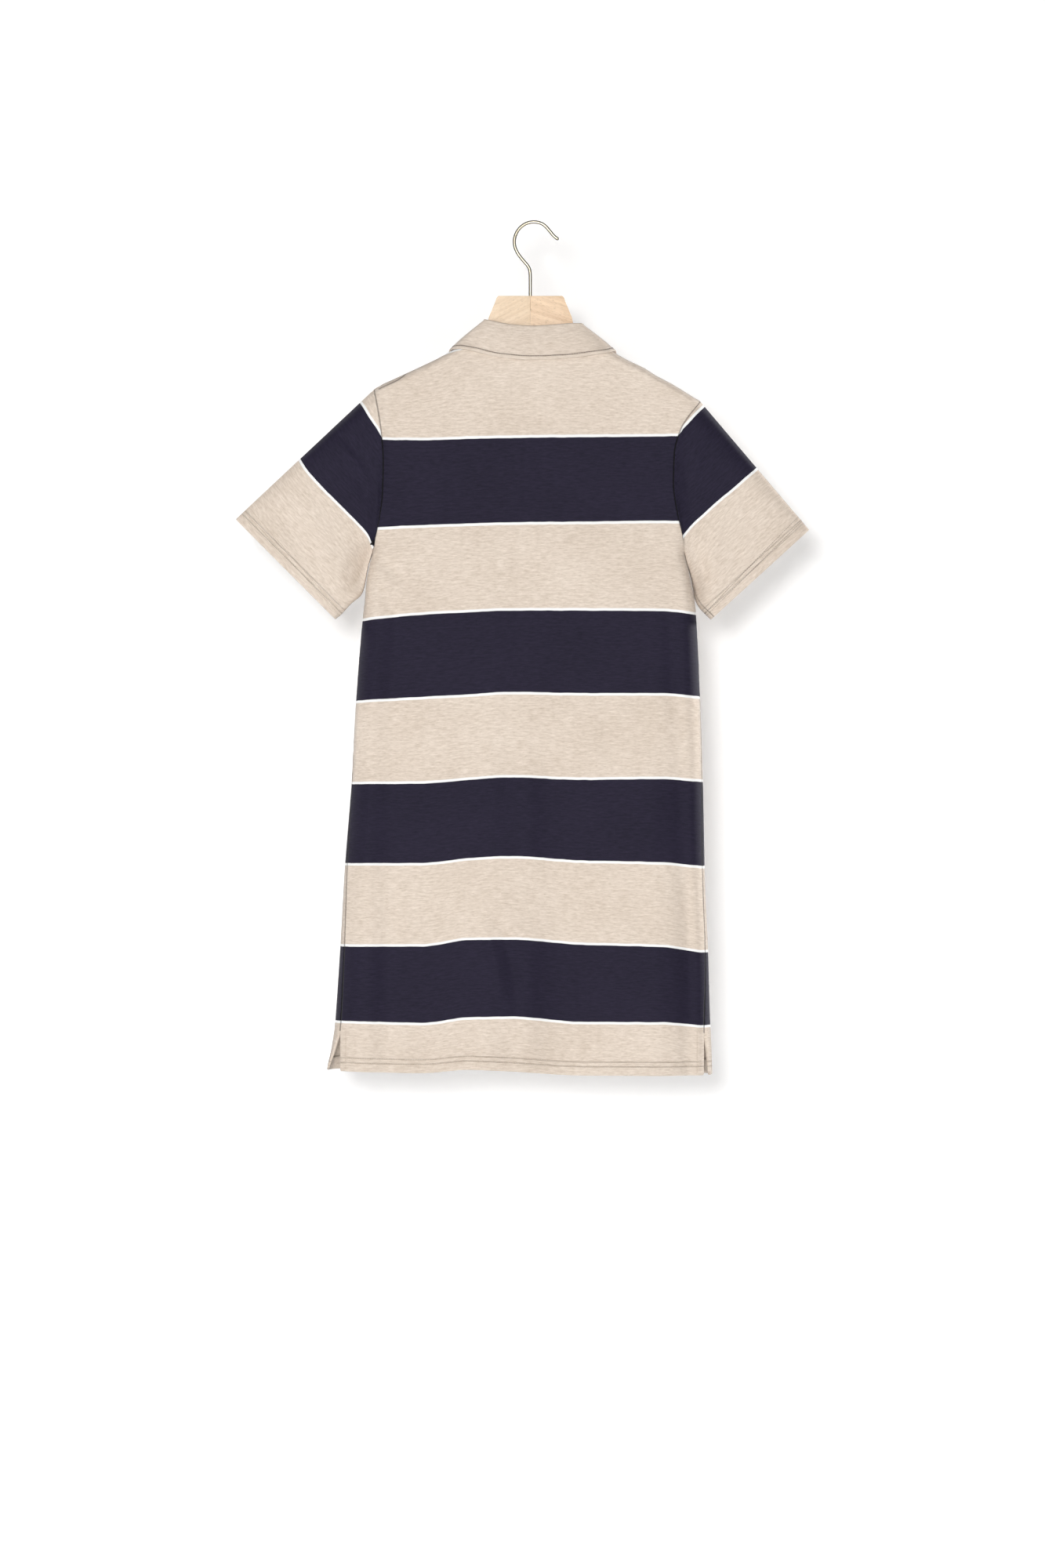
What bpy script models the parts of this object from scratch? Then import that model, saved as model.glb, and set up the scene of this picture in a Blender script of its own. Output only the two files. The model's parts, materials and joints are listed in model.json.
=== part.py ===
"""A striped jersey polo dress on a wooden hanger, built the way it is cut and sewn.

Frame: metres, +Z up. The origin is the point inside the top of the hook that a rail touches.
The back of the dress faces -Y, its front faces +Y, and +X is to the right of someone who looks at the back.
Inside this script lengths are millimetres, and a height is a distance below the origin ("below").
"""

import math

import bmesh
import bpy
import numpy as np

MM = 0.001  # one millimetre in metres

# ---------------------------------------------------------------- driving dimensions (mm)

JERSEY = 1.5  # wall of a cloth panel
COLLAR_PLY = 2.0  # wall of the collar, two layers pressed together
SEAM_GAP = 0.5  # between the edges of two pieces that are sewn together
UNDERARM_GAP = 1.3  # more of it near the underarm, where the sleeve leaves the rounded side at an angle
COLLAR_GAP = 1.8  # between the neck edge and the collar, which leans inwards from it

BACK = -1  # side of the dress, as the sign of Y
FRONT = 1

# Heights of the cloth's courses. Each row is one thread line, followed from the left side of the dress to its
# right side, so the rows carry the waves that hanging gives the cloth.
COURSE_X = (-224.0, -137.0, -79.0, -30.0, 57.0, 154.0, 206.0)
COURSES = (
    # course, left side, left quarter, left middle, crest, dip, right quarter, right side
    ("underarm", 399.5, 402.5, 402.5, 402.5, 404.5, 408.5, 411.0),
    ("line 3", 492.5, 483.5, 480.5, 478.5, 478.5, 479.0, 484.0),
    ("line 4", 592.5, 587.5, 584.5, 581.5, 583.0, 583.0, 587.0),
    ("line 5", 692.5, 691.5, 687.0, 684.0, 687.0, 686.0, 689.5),
    ("line 6", 792.5, 792.0, 786.0, 783.5, 789.0, 791.0, 796.0),
    ("line 7", 892.5, 892.0, 884.0, 883.5, 890.0, 892.5, 900.0),
    ("line 8", 986.5, 988.5, 981.5, 980.5, 987.5, 987.5, 992.0),
    ("slit top", 997.5, 999.5, 993.5, 993.0, 999.0, 999.5, 1000.0),
    ("hem", 1046.0, 1048.0, 1043.5, 1045.5, 1051.0, 1051.0, 1051.0),
)
LEVELS = tuple(row[3] for row in COURSES)  # a course is called by its height left of the middle
UNDERARM, SLIT_TOP, HEM = LEVELS[0], LEVELS[7], LEVELS[8]

# The sides below the underarm. reach is the widest X of the rounded side, and seam_in is how far the side seam
# lies from there towards the middle of the back.
SIDES = (
    # level, left reach, left seam_in, right reach, right seam_in
    (UNDERARM, -197.4, 0.0, 186.2, 0.0),
    (419.0, -202.0, 0.0, 189.8, 0.0),
    (436.0, -206.2, 0.0, 193.2, 0.0),
    (462.0, -209.0, 0.0, 198.2, 0.0),
    (LEVELS[1], -211.5, 0.0, 200.0, 0.0),
    (LEVELS[2], -219.5, 0.0, 205.0, 0.3),
    (LEVELS[3], -225.0, 0.8, 208.6, 1.8),
    (LEVELS[4], -233.0, 3.2, 210.8, 3.4),
    (LEVELS[5], -238.8, 5.6, 215.0, 4.2),
    (LEVELS[6], -245.2, 7.6, 217.8, 8.5),
    (SLIT_TOP, -246.2, 7.8, 218.4, 9.2),
    (HEM, -246.2, 7.8, 218.4, 9.2),
)
# Below the slit tops the front's two free corners swing outwards.
FRONT_FLAPS = (
    # level, left reach, left seam_in, right reach, right seam_in
    (SLIT_TOP, -246.2, 7.8, 218.4, 9.2),
    (1018.0, -250.0, 3.6, 219.4, 6.0),
    (HEM, -255.4, 0.0, 220.2, 3.9),
)

# Edges of the panels along the armholes: X at a share of the way up from the underarm to the shoulder corner.
ARMHOLE_LEFT = (
    # rise, x
    (0.0, -197.4),
    (0.14, -192.1),
    (0.19, -190.1),
    (0.34, -186.7),
    (0.54, -185.8),
    (0.72, -188.2),
    (1.0, -196.9),
)
ARMHOLE_RIGHT = (
    # rise, x
    (0.0, 186.2),
    (0.12, 183.3),
    (0.23, 178.4),
    (0.46, 172.1),
    (0.66, 173.3),
    (0.81, 180.9),
    (1.0, 205.1),
)

# The shoulder ridge, where the cloth lies over the hanger, from the left corner to the right one.
RIDGE = (
    # x, below
    (-196.9, 205.6),
    (-186.2, 199.0),
    (-165.0, 189.5),
    (-143.5, 179.5),
    (-120.3, 168.5),
    (-104.8, 160.0),
    (-81.5, 147.5),
    (75.7, 148.5),
    (98.9, 160.0),
    (115.4, 169.5),
    (136.8, 179.5),
    (151.3, 189.0),
    (170.7, 199.0),
    (186.2, 208.5),
    (205.1, 220.5),
)
NECK_LEFT, NECK_RIGHT = -81.5, 75.7  # the high shoulder points
NECK_X = (NECK_LEFT + NECK_RIGHT) / 2
NECK_HALF = (NECK_RIGHT - NECK_LEFT) / 2
BACK_NECK_DROP, FRONT_NECK_DROP = 9.5, 80.0
RIDGE_RADIUS = 8.5  # how fast the cloth rounds over from the back to the front

# Half depth of the hanging dress, from the plane of the hanger to the middle of its cloth.
DEPTHS = (
    # below, back, front
    (140.0, 14.0, 14.0),
    (230.0, 16.0, 18.0),
    (330.0, 19.0, 22.0),
    (405.0, 23.0, 25.0),
    (600.0, 29.0, 31.0),
    (790.0, 33.0, 35.0),
    (1050.0, 37.0, 39.0),
)
SIDE_ROUNDING = 0.9  # width of a rounded side, as a share of the half depth

# Soft upright folds of the hanging cloth. A minus height is a trough.
FOLDS = (
    # side, x at top, x at foot, top, foot, height, half width
    (BACK, 172.0, 184.0, 400.0, 1000.0, -5.0, 13.0),
    (BACK, 150.0, 158.0, 520.0, 1051.0, 3.5, 22.0),
    (BACK, -187.0, -196.0, 520.0, 860.0, -3.0, 12.0),
    (BACK, -40.0, -38.0, 620.0, 1051.0, 5.0, 42.0),
    (BACK, 44.0, 56.0, 660.0, 1051.0, -5.0, 34.0),
    (BACK, -120.0, -142.0, 700.0, 1051.0, -3.5, 36.0),
    (FRONT, -105.0, -125.0, 620.0, 1051.0, -4.5, 38.0),
    (FRONT, 2.0, 4.0, 640.0, 1051.0, 5.0, 46.0),
    (FRONT, 100.0, 112.0, 560.0, 1051.0, -5.0, 34.0),
    (FRONT, 165.0, 176.0, 480.0, 1051.0, 3.0, 22.0),
)

# Grid lines of a panel. Across, the outer zone runs from a side to the line below a neck point.
OUTER_ZONE = (0.0, 0.02, 0.05, 0.09, 0.14, 0.2, 0.3, 0.5, 0.75, 1.0)
INNER_ZONE = (1.0, 0.99, 0.95, 0.85, 0.65, 0.4)  # the rest, as shares of half the neck's width
PLACKET_HALF = 16.0  # half the width of the slot for the placket
RISE = (0.0, 0.01, 0.03, 0.07, 0.14, 0.25, 0.4, 0.55, 0.7, 0.82, 0.9, 0.95, 0.978, 0.991, 0.9985)
COURSES_BELOW_UNDERARM = 11
COURSES_AT_SLIT = 2

# Sleeves, as seen from the back: the fold along the top, the corner under it at the cuff, and the underside.
SLEEVES = {
    "left": {
        "cuff_top": (-367.6, 365.6),
        "cuff_half_depth": 14.0,
        "underside": (
            # share of the length, x, below, tuck behind the body
            (0.0, -199.6, 398.3, 0.0),
            (0.125, -203.9, 412.0, 0.0),
            (0.25, -207.8, 423.8, 0.0),
            (0.5, -210.9, 449.0, 0.0),
            (0.62, -213.9, 458.7, 0.0),
            (0.78, -227.5, 471.3, 0.0),
            (0.9, -237.0, 482.0, 0.0),
            (1.0, -245.0, 488.6, 0.0),
        ),
    },
    "right": {
        "cuff_top": (339.5, 378.5),
        "cuff_half_depth": 14.0,
        "underside": (
            (0.0, 188.2, 409.7, 0.0),
            (0.125, 193.4, 422.0, 4.0),
            (0.25, 196.4, 432.0, 8.0),
            (0.5, 200.6, 452.0, 10.0),
            (0.62, 202.6, 463.5, 8.0),
            (0.78, 206.0, 474.5, 4.0),
            (0.9, 211.5, 482.0, 1.0),
            (1.0, 218.3, 489.2, 0.0),
        ),
    },
}
SLEEVE_SECTIONS = 8

# Collar, in halves that run from the centre back to the front edge. turn is the angle round the neck.
COLLAR = (
    # turn, fold x, fold below, fold y, leaf edge x, leaf edge below, leaf edge y
    (-170.0, -9.0, 214.0, 24.0, -50.0, 274.0, 26.0),
    (-150.0, -27.0, 196.0, 22.0, -84.0, 246.0, 24.0),
    (-125.0, -50.0, 150.0, 18.0, -105.0, 198.0, 16.0),
    (-105.0, -59.4, 126.0, 12.0, -106.0, 170.0, 12.0),
    (-90.0, -60.6, 119.6, 0.0, -103.5, 156.1, 0.0),
    (-75.0, -59.8, 120.2, -8.5, -95.0, 156.0, -12.0),
    (-55.0, -50.0, 122.5, -12.0, -75.0, 159.4, -15.0),
    (-30.0, -29.0, 126.8, -14.0, -44.0, 166.7, -17.0),
    (0.0, -2.0, 128.5, -14.5, -2.0, 170.2, -18.0),
    (30.0, 26.0, 127.0, -14.0, 40.0, 168.4, -17.0),
    (55.0, 48.0, 125.2, -12.0, 72.0, 164.3, -15.0),
    (75.0, 58.5, 125.0, -8.5, 92.0, 161.0, -12.0),
    (90.0, 60.0, 125.2, 0.0, 100.9, 158.0, 0.0),
    (105.0, 58.5, 132.0, 13.0, 102.5, 172.0, 12.0),
    (125.0, 47.0, 153.0, 18.5, 100.0, 199.0, 16.0),
    (150.0, 21.0, 197.0, 22.0, 78.0, 248.0, 24.0),
    (170.0, 3.0, 214.0, 24.0, 44.0, 275.0, 26.0),
)
FOLD_RADIUS = 1.3
LEAF_GAP = 1.5  # between the leaf and the panel it lies on
STAND_STEPS, FOLD_STEPS, LEAF_STEPS = 2, 3, 4

BUTTON_RADIUS, BUTTON_THICKNESS = 5.8, 2.4
BUTTON_DROPS = (14.0, 78.0, 142.0)  # below the front neck

# Hanger: its neck is a trapezium, and its arms follow the shoulder ridge just under the cloth.
HANGER_X = -4.4  # the glue line
HANGER_HALF_THICKNESS = 6.0
HANGER_UNDER_CLOTH = 2.6
HANGER_NECK = (
    # half width, below
    (39.5, 90.1),
    (41.6, 92.3),
    (43.6, 98.0),
    (46.2, 104.0),
    (49.0, 111.0),
    (51.8, 118.0),
    (53.0, 126.0),
    (55.5, 136.0),
    (60.0, 145.0),
    (66.0, 151.5),
)
ARM_TIP = {"left": -186.0, "right": 193.0}
ARM_HEIGHT_AT_NECK, ARM_HEIGHT_AT_TIP = 36.0, 20.0
WOOD_ROUNDING = 2.5

WIRE_RADIUS = 1.95
HOOK_RADIUS = 25.6  # to the middle of the wire
HOOK_CENTRE = (0.0, 23.6)  # x and distance below the origin
HOOK_TIP = ((31.0, 19.3), (27.0, 14.3))  # x, below
HOOK_SWEEP = ((-24.4, 33.0), (-20.2, 40.0), (-13.4, 46.2), (-7.6, 51.6), (-4.7, 58.0))
STEM_FOOT = 108.0
HOLE_RADIUS = 2.4

# ---------------------------------------------------------------- curves through the tables


def smooth(stations, values, at):
    """Values at `at` on a curve through the stations that never overshoots them, level past its ends."""
    x = np.asarray(stations, float)
    y = np.asarray(values, float)
    step = np.diff(x)
    slope = np.diff(y) / step
    product = slope[:-1] * slope[1:]
    total = np.where(product > 0, slope[:-1] + slope[1:], 1.0)
    tangent = np.concatenate([[slope[0]], np.where(product > 0, 2 * product / total, 0.0), [slope[-1]]])
    at = np.clip(at, x[0], x[-1])
    i = np.clip(np.searchsorted(x, at, side="right") - 1, 0, len(step) - 1)
    t = (at - x[i]) / step[i]
    rise = y[i] + (y[i + 1] - y[i]) * t * t * (3 - 2 * t)
    return rise + step[i] * (tangent[i] * t * (1 - t) ** 2 - tangent[i + 1] * t * t * (1 - t))


def column(table, index):
    return [row[index] for row in table]


def rounding(share):
    """Quarter circle: 0 at the edge of a rounded side, 1 from a share of 1 on."""
    share = np.clip(share, 0.0, 1.0)
    return np.sqrt(1 - (1 - share) ** 2)


def course_below(level, x):
    """Height of the course called `level` at x."""
    heights = [smooth(LEVELS, column(COURSES, 1 + i), level) for i in range(len(COURSE_X))]
    return float(smooth(COURSE_X, heights, x))


def ridge_below(x):
    return float(np.interp(x, column(RIDGE, 0), column(RIDGE, 1)))


def neckline_below(face, x):
    """Height of the cut neck edge between the high shoulder points."""
    drop = BACK_NECK_DROP if face == BACK else FRONT_NECK_DROP
    across = min(1.0, abs(x - NECK_X) / NECK_HALF)
    return ridge_below(x) + drop * (1 - across**2.2) ** 0.75


def virtual_ridge_below(x):
    """The ridge, carried on over the neck hole so that the cloth beside it keeps its depth."""
    across = min(1.0, abs(x - NECK_X) / NECK_HALF)
    if across == 1.0:
        return ridge_below(x)
    return neckline_below(BACK, x) - RIDGE_RADIUS * (1 - across)


def half_depth(face, below):
    return float(smooth(column(DEPTHS, 0), column(DEPTHS, 1 if face == BACK else 2), below))


def folds(face, x, below):
    total = 0.0
    for side, x_top, x_foot, top, foot, height, half_width in FOLDS:
        if side != face or below <= top:
            continue
        share = min(1.0, (below - top) / (foot - top))
        middle = x_top + (x_foot - x_top) * share
        grown = math.sin(math.pi * share) if foot < HEM else math.sin(math.pi / 2 * share)
        total += height * grown * math.exp(-(((x - middle) / half_width) ** 2))
    return total


def cloth_y(face, x, below, side_share):
    """Y of the cloth, from how rounded the side and the shoulder are there."""
    top_share = float(rounding((below - virtual_ridge_below(x)) / RIDGE_RADIUS))
    depth = half_depth(face, below) + folds(face, x, below) * side_share**2
    return face * max(0.7 * SEAM_GAP, depth * side_share * top_share)


# ---------------------------------------------------------------- panels


def centre_x(level):
    """The middle of the dress drifts to the left towards the hem."""
    return float(np.interp(level, (140.0, UNDERARM, LEVELS[3], HEM), (NECK_X, NECK_X - 2.0, -8.0, -14.5)))


def armhole_share(rise):
    """Share of the full depth that the cloth has at the armhole, from the underarm (0) to the corner (1)."""
    return float(rounding(rise / 0.35) * rounding((1 - rise) / 0.12))


def side_of_row(face, row, hand):
    """(reach, angle at the panel's edge) of a rounded side. The angle is 0 at the reach."""
    sign = -1 if hand == "left" else 1
    level, rise = row
    if rise > 0:
        edge = ARMHOLE_LEFT if hand == "left" else ARMHOLE_RIGHT
        edge_x = float(smooth(column(edge, 0), column(edge, 1), rise))
        rounded = SIDE_ROUNDING * half_depth(face, edge_below(rise, hand))
        angle = math.asin(armhole_share(rise))
        return edge_x + sign * rounded * (1 - math.cos(angle)), angle
    table = FRONT_FLAPS if face == FRONT and level > SLIT_TOP else SIDES
    first = 1 if hand == "left" else 3
    reach = float(smooth(column(table, 0), column(table, first), level))
    seam_in = float(smooth(column(table, 0), column(table, first + 1), level))
    rounded = SIDE_ROUNDING * half_depth(BACK, course_below(level, sign * 215.0))
    angle = math.acos(1 - seam_in / rounded)
    return reach, angle if face == BACK else -angle


def edge_below(rise, hand):
    """Height of the armhole edge."""
    corner, underarm = (RIDGE[0][1], COURSES[0][1]) if hand == "left" else (RIDGE[-1][1], COURSES[0][7])
    return underarm + (corner - underarm) * rise


def outer_line(face, row, hand):
    """(x, side share) of the points from a panel's edge to the line below the neck point, spaced by length."""
    sign = -1 if hand == "left" else 1
    level, rise = row
    inner_x = centre_x(edge_below(rise, hand) if rise > 0 else level) + sign * NECK_HALF
    reach, start = side_of_row(face, row, hand)
    below = edge_below(rise, hand) if rise > 0 else course_below(level, reach)
    angles = np.linspace(start, math.pi / 2, 40)
    own_depth = half_depth(face, below)
    far_depth = half_depth(-face, below)
    depths = np.where(angles >= 0, own_depth, far_depth)
    rounded = SIDE_ROUNDING * (own_depth if rise > 0 else half_depth(BACK, below))
    xs = np.append(reach - sign * rounded * (1 - np.cos(angles)), inner_x)
    shares = np.append(np.sin(angles), 1.0)
    ys = np.append(depths * np.sin(angles), own_depth)
    length = np.concatenate([[0.0], np.cumsum(np.hypot(np.diff(xs), np.diff(ys)))])
    start_gap = 0.0 if rise > 0 else SEAM_GAP / 2
    wanted = start_gap + (length[-1] - start_gap) * np.array(OUTER_ZONE)
    return np.interp(wanted, length, xs), np.interp(wanted, length, shares)


def row_across(face, row):
    """(x, side share) of every point of a row of a panel, from its left edge to its right edge."""
    level, rise = row
    left_x, left_share = outer_line(face, row, "left")
    right_x, right_share = outer_line(face, row, "right")
    middle = centre_x(level if rise == 0 else UNDERARM + (140.0 - UNDERARM) * rise)
    inner = [share * NECK_HALF for share in INNER_ZONE[1:]] + [PLACKET_HALF]
    middle_x = [middle - d for d in inner] + [middle] + [middle + d for d in reversed(inner)]
    xs = list(left_x) + middle_x + list(right_x[::-1])
    return xs, list(left_share) + [1.0] * len(middle_x) + list(right_share[::-1])


def top_below(face, x):
    """Height of a panel's top edge: the shoulder seam, or the neckline between the two neck points."""
    return neckline_below(face, x) if abs(x - NECK_X) < NECK_HALF else ridge_below(x)


def panel_points(face, rows):
    """The points of a panel, row by row. Above the underarm each grid line runs up to the top edge."""
    low = [course_below(UNDERARM, x) for x in row_across(face, (UNDERARM, 0.0))[0]]
    top = [top_below(face, x) for x in row_across(face, (UNDERARM, 1.0))[0]]
    made_rows = []
    for level, rise in rows:
        xs, shares = row_across(face, (level, rise))
        points = []
        for i, (x, share) in enumerate(zip(xs, shares)):
            below = low[i] + (top[i] - low[i]) * rise if rise > 0 else course_below(level, x)
            side = face if share >= 0 else -face
            points.append((x, cloth_y(side, x, below, abs(share)), -below))
        made_rows.append(points)
    return made_rows


def panel_rows():
    """(level, rise) of each row: courses from the hem to the underarm, then shares of the way up from there."""
    slit = np.linspace(HEM, SLIT_TOP, COURSES_AT_SLIT + 1)
    side = np.linspace(SLIT_TOP, UNDERARM, COURSES_BELOW_UNDERARM + 1)[1:]
    rows = [(float(level), 0.0) for level in (*slit, *side)]
    return rows + [(UNDERARM, rise) for rise in (*RISE[1:], 1.0)]


# ---------------------------------------------------------------- making meshes

made = None  # the collection of the finished pieces


def material(name, colour, roughness, metallic=0.0):
    found = bpy.data.materials.get(name)
    if found:
        return found
    new = bpy.data.materials.new(name)
    new.use_nodes = True
    shader = new.node_tree.nodes["Principled BSDF"]
    shader.inputs["Base Color"].default_value = (*colour, 1.0)
    shader.inputs["Roughness"].default_value = roughness
    shader.inputs["Metallic"].default_value = metallic
    return new


def jersey():
    return material("beige_jersey", (0.70, 0.61, 0.51), 0.9)


def add_piece(name, mesh, surface, smooth_angle=40.0):
    piece = bpy.data.objects.new(name, mesh)
    made.objects.link(piece)
    mesh.materials.append(surface)
    mesh.shade_smooth()
    mesh.set_sharp_from_angle(angle=math.radians(smooth_angle))
    return piece


def sheet(name, columns, wall, surface, closed=False, holes=()):
    """A cloth wall through columns[i][j] = (x, y, z) in mm. holes lists the cells left out."""
    across, along = len(columns) - 1, len(columns[0]) - 1
    grid = bmesh.new()
    bmesh.ops.create_grid(grid, x_segments=across, y_segments=along, size=1.0)
    drop = []
    for face in grid.faces:
        middle = face.calc_center_median()
        cell = (int((middle.x + 1) / 2 * across), int((middle.y + 1) / 2 * along))
        if cell in holes:
            drop.append(face)
    for vert in grid.verts:
        i = round((vert.co.x + 1) / 2 * across)
        j = round((vert.co.y + 1) / 2 * along)
        vert.co = [MM * value for value in columns[i][j]]
    bmesh.ops.delete(grid, geom=drop, context="FACES")
    if closed:
        bmesh.ops.remove_doubles(grid, verts=grid.verts, dist=1e-6)
    mesh = bpy.data.meshes.new(name)
    grid.to_mesh(mesh)
    grid.free()
    piece = add_piece(name, mesh, surface)
    shell = piece.modifiers.new("cloth wall", "SOLIDIFY")
    shell.thickness = wall * MM
    shell.offset = 0.0
    shell.use_even_offset = True
    shell.use_quality_normals = True
    return piece


def make_panel(name, face):
    rows = panel_points(face, panel_rows())
    columns = list(zip(*rows))
    holes = set()
    if face == FRONT:
        centre = len(columns) // 2
        first = COURSES_AT_SLIT + COURSES_BELOW_UNDERARM
        holes = {(i, j) for i in (centre - 1, centre) for j in range(first, len(rows) - 1)}
    return sheet(name, columns, JERSEY, jersey(), holes=holes)


# ---------------------------------------------------------------- sleeves


def armhole_edge(face, hand, rises):
    """(rise, x, below, depth) along a panel's armhole edge, from the underarm up, moved out by the seam gap."""
    end = 0 if hand == "left" else -1
    sign = -1 if hand == "left" else 1
    points = [row[end] for row in panel_points(face, [(UNDERARM, rise) for rise in rises])]
    edge = []
    for rise, (x, y, z) in zip(rises, points):
        gap = SEAM_GAP + UNDERARM_GAP * (1 - armhole_share(rise) ** 2) * (1 - rise)
        edge.append((rise, x + sign * gap, -z, abs(y)))
    return edge


def make_sleeve(hand):
    """A tube from the armhole to the cuff. Its columns run down the back and up the front again."""
    shape = SLEEVES[hand]
    under = shape["underside"]
    rises = (*RISE[1:], 1.0)
    front = armhole_edge(FRONT, hand, rises)
    back = armhole_edge(BACK, hand, rises)
    corner = np.array(back[-1][1:3])
    start = np.array([under[0][1], under[0][2]])
    seam = (0.0, *start, 0.0)
    around = [(BACK, edge) for edge in (back[-1][:3] + (0.0,), *back[-2::-1], seam)]
    around += [(FRONT, edge) for edge in (*front[:-1], back[-1][:3] + (0.0,))]
    cuff_top = np.array(shape["cuff_top"])
    columns = []
    for face, (rise, edge_x, below_edge, armhole_y) in around:
        down = 1 - rise
        bow = np.array([edge_x, below_edge]) - (corner + (start - corner) * down)
        cuff_y = shape["cuff_half_depth"] * (4 * rise * down) ** 0.4
        points = []
        for k in range(SLEEVE_SECTIONS + 1):
            along = k / SLEEVE_SECTIONS
            low = np.array([float(smooth(column(under, 0), column(under, i), along)) for i in (1, 2)])
            tuck = float(smooth(column(under, 0), column(under, 3), along)) * down**2
            high = corner + (cuff_top - corner) * along
            x, below = high + (low - high) * down + bow * (1 - along) ** 1.5
            depth = armhole_y + (cuff_y - armhole_y) * along
            points.append((x, face * depth + tuck, -below))
        columns.append(points)
    return sheet(f"sleeve_{hand}", columns, JERSEY, jersey(), closed=True)


# ---------------------------------------------------------------- collar


def clear_of_panel(x, below, gap):
    """Least distance from the hanger's plane at which a layer lies outside a panel by `gap`, front and back."""
    share = (below - (virtual_ridge_below(x) - gap)) / (RIDGE_RADIUS + gap)
    if share <= 0:
        return 0.0, 0.0
    top = float(rounding(share))
    return top * (half_depth(BACK, below) + gap), top * (half_depth(FRONT, below) + gap)


def neck_loop():
    """(turn, x, y, z) of the panels' neck edge at their grid lines. turn is 0 at the centre back."""
    shares = (*INNER_ZONE, PLACKET_HALF / NECK_HALF)
    loop = [(0.0, BACK, 0.0)]
    for hand in (-1, 1):
        loop += [(hand * math.degrees(math.asin(share)), BACK, hand * share) for share in shares]
        loop += [(hand * (180 - math.degrees(math.asin(share))), FRONT, hand * share) for share in shares[1:]]
    points = []
    for turn, face, offset in sorted(loop):
        x = NECK_X + NECK_HALF * offset
        below = neckline_below(face, x)
        points.append((turn, x, cloth_y(face, x, below, 1.0), -below))
    return points


def seam_line(loop):
    """The collar's lower edge: the neck edge, moved inwards and upwards at a right angle to itself."""
    edge = np.array([point[1:] for point in loop])
    along = np.gradient(edge, axis=0)
    along /= np.linalg.norm(along, axis=1)[:, None]
    inwards = np.column_stack([(NECK_X - edge[:, 0]) / NECK_HALF, np.zeros(len(edge)), np.full(len(edge), 0.8)])
    inwards -= along * np.sum(inwards * along, axis=1)[:, None]
    return edge + COLLAR_GAP * inwards / np.linalg.norm(inwards, axis=1)[:, None]


def collar_section(turn, seam):
    """Points from the seam up the stand, over the fold and down the leaf."""
    turns = column(COLLAR, 0)
    fold_x, fold_below, fold_y, leaf_x, leaf_below, leaf_y = (
        float(smooth(turns, column(COLLAR, i), turn)) for i in range(1, 7)
    )
    fold = np.array([fold_x, fold_y, -fold_below])
    leaf = np.array([leaf_x, leaf_y, -leaf_below])
    out = np.array([math.sin(math.radians(turn)), -math.cos(math.radians(turn)), 0.0])
    stand_top = fold - out * FOLD_RADIUS - np.array([0.0, 0.0, FOLD_RADIUS])
    leaf_top = fold + out * FOLD_RADIUS - np.array([0.0, 0.0, FOLD_RADIUS])
    points = [seam + (stand_top - seam) * (k / STAND_STEPS) for k in range(STAND_STEPS)]
    for k in range(FOLD_STEPS + 1):
        angle = math.pi * k / FOLD_STEPS
        rise = np.array([0.0, 0.0, FOLD_RADIUS * math.sin(angle)])
        points.append((stand_top + leaf_top) / 2 - out * FOLD_RADIUS * math.cos(angle) + rise)
    for k in range(1, LEAF_STEPS + 1):
        points.append(leaf_top + (leaf - leaf_top) * (k / LEAF_STEPS))
    gap = JERSEY / 2 + COLLAR_PLY / 2 + LEAF_GAP
    for k in range(STAND_STEPS + FOLD_STEPS, len(points)):
        x, y, z = points[k]
        back, front = clear_of_panel(x, -z, gap)
        points[k] = (x, max(y, front), z) if y > 0 else (x, min(y, -back), z)
    return [tuple(point) for point in points]


def make_collar():
    loop = neck_loop()
    stations = column(loop, 0)
    turns = sorted(stations + [(a + b) / 2 for a, b in zip(stations, stations[1:])])
    line = seam_line(loop)
    columns = []
    for turn in turns:
        seam = np.array([np.interp(turn, stations, line[:, i]) for i in range(3)])
        columns.append(collar_section(turn, seam))
    return sheet("collar", columns, COLLAR_PLY, jersey())


# ---------------------------------------------------------------- placket and buttons


def placket_strip(name, half_width, behind, first_rise):
    """A strip that fills the slot in the front, `behind` the panel's own surface."""
    rises = [rise for rise in (*RISE, 1.0) if rise >= first_rise]
    columns = []
    for offset in (-half_width, 0.0, half_width):
        points = []
        for rise in rises:
            middle = centre_x(UNDERARM + (140.0 - UNDERARM) * rise)
            x = middle + offset
            low, top = course_below(UNDERARM, x) - SEAM_GAP, neckline_below(FRONT, x)
            below = low + (top - low) * rise
            points.append((x, cloth_y(FRONT, x, below, 1.0) - behind, -below))
        columns.append(points)
    return sheet(name, columns, JERSEY, jersey())


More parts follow.
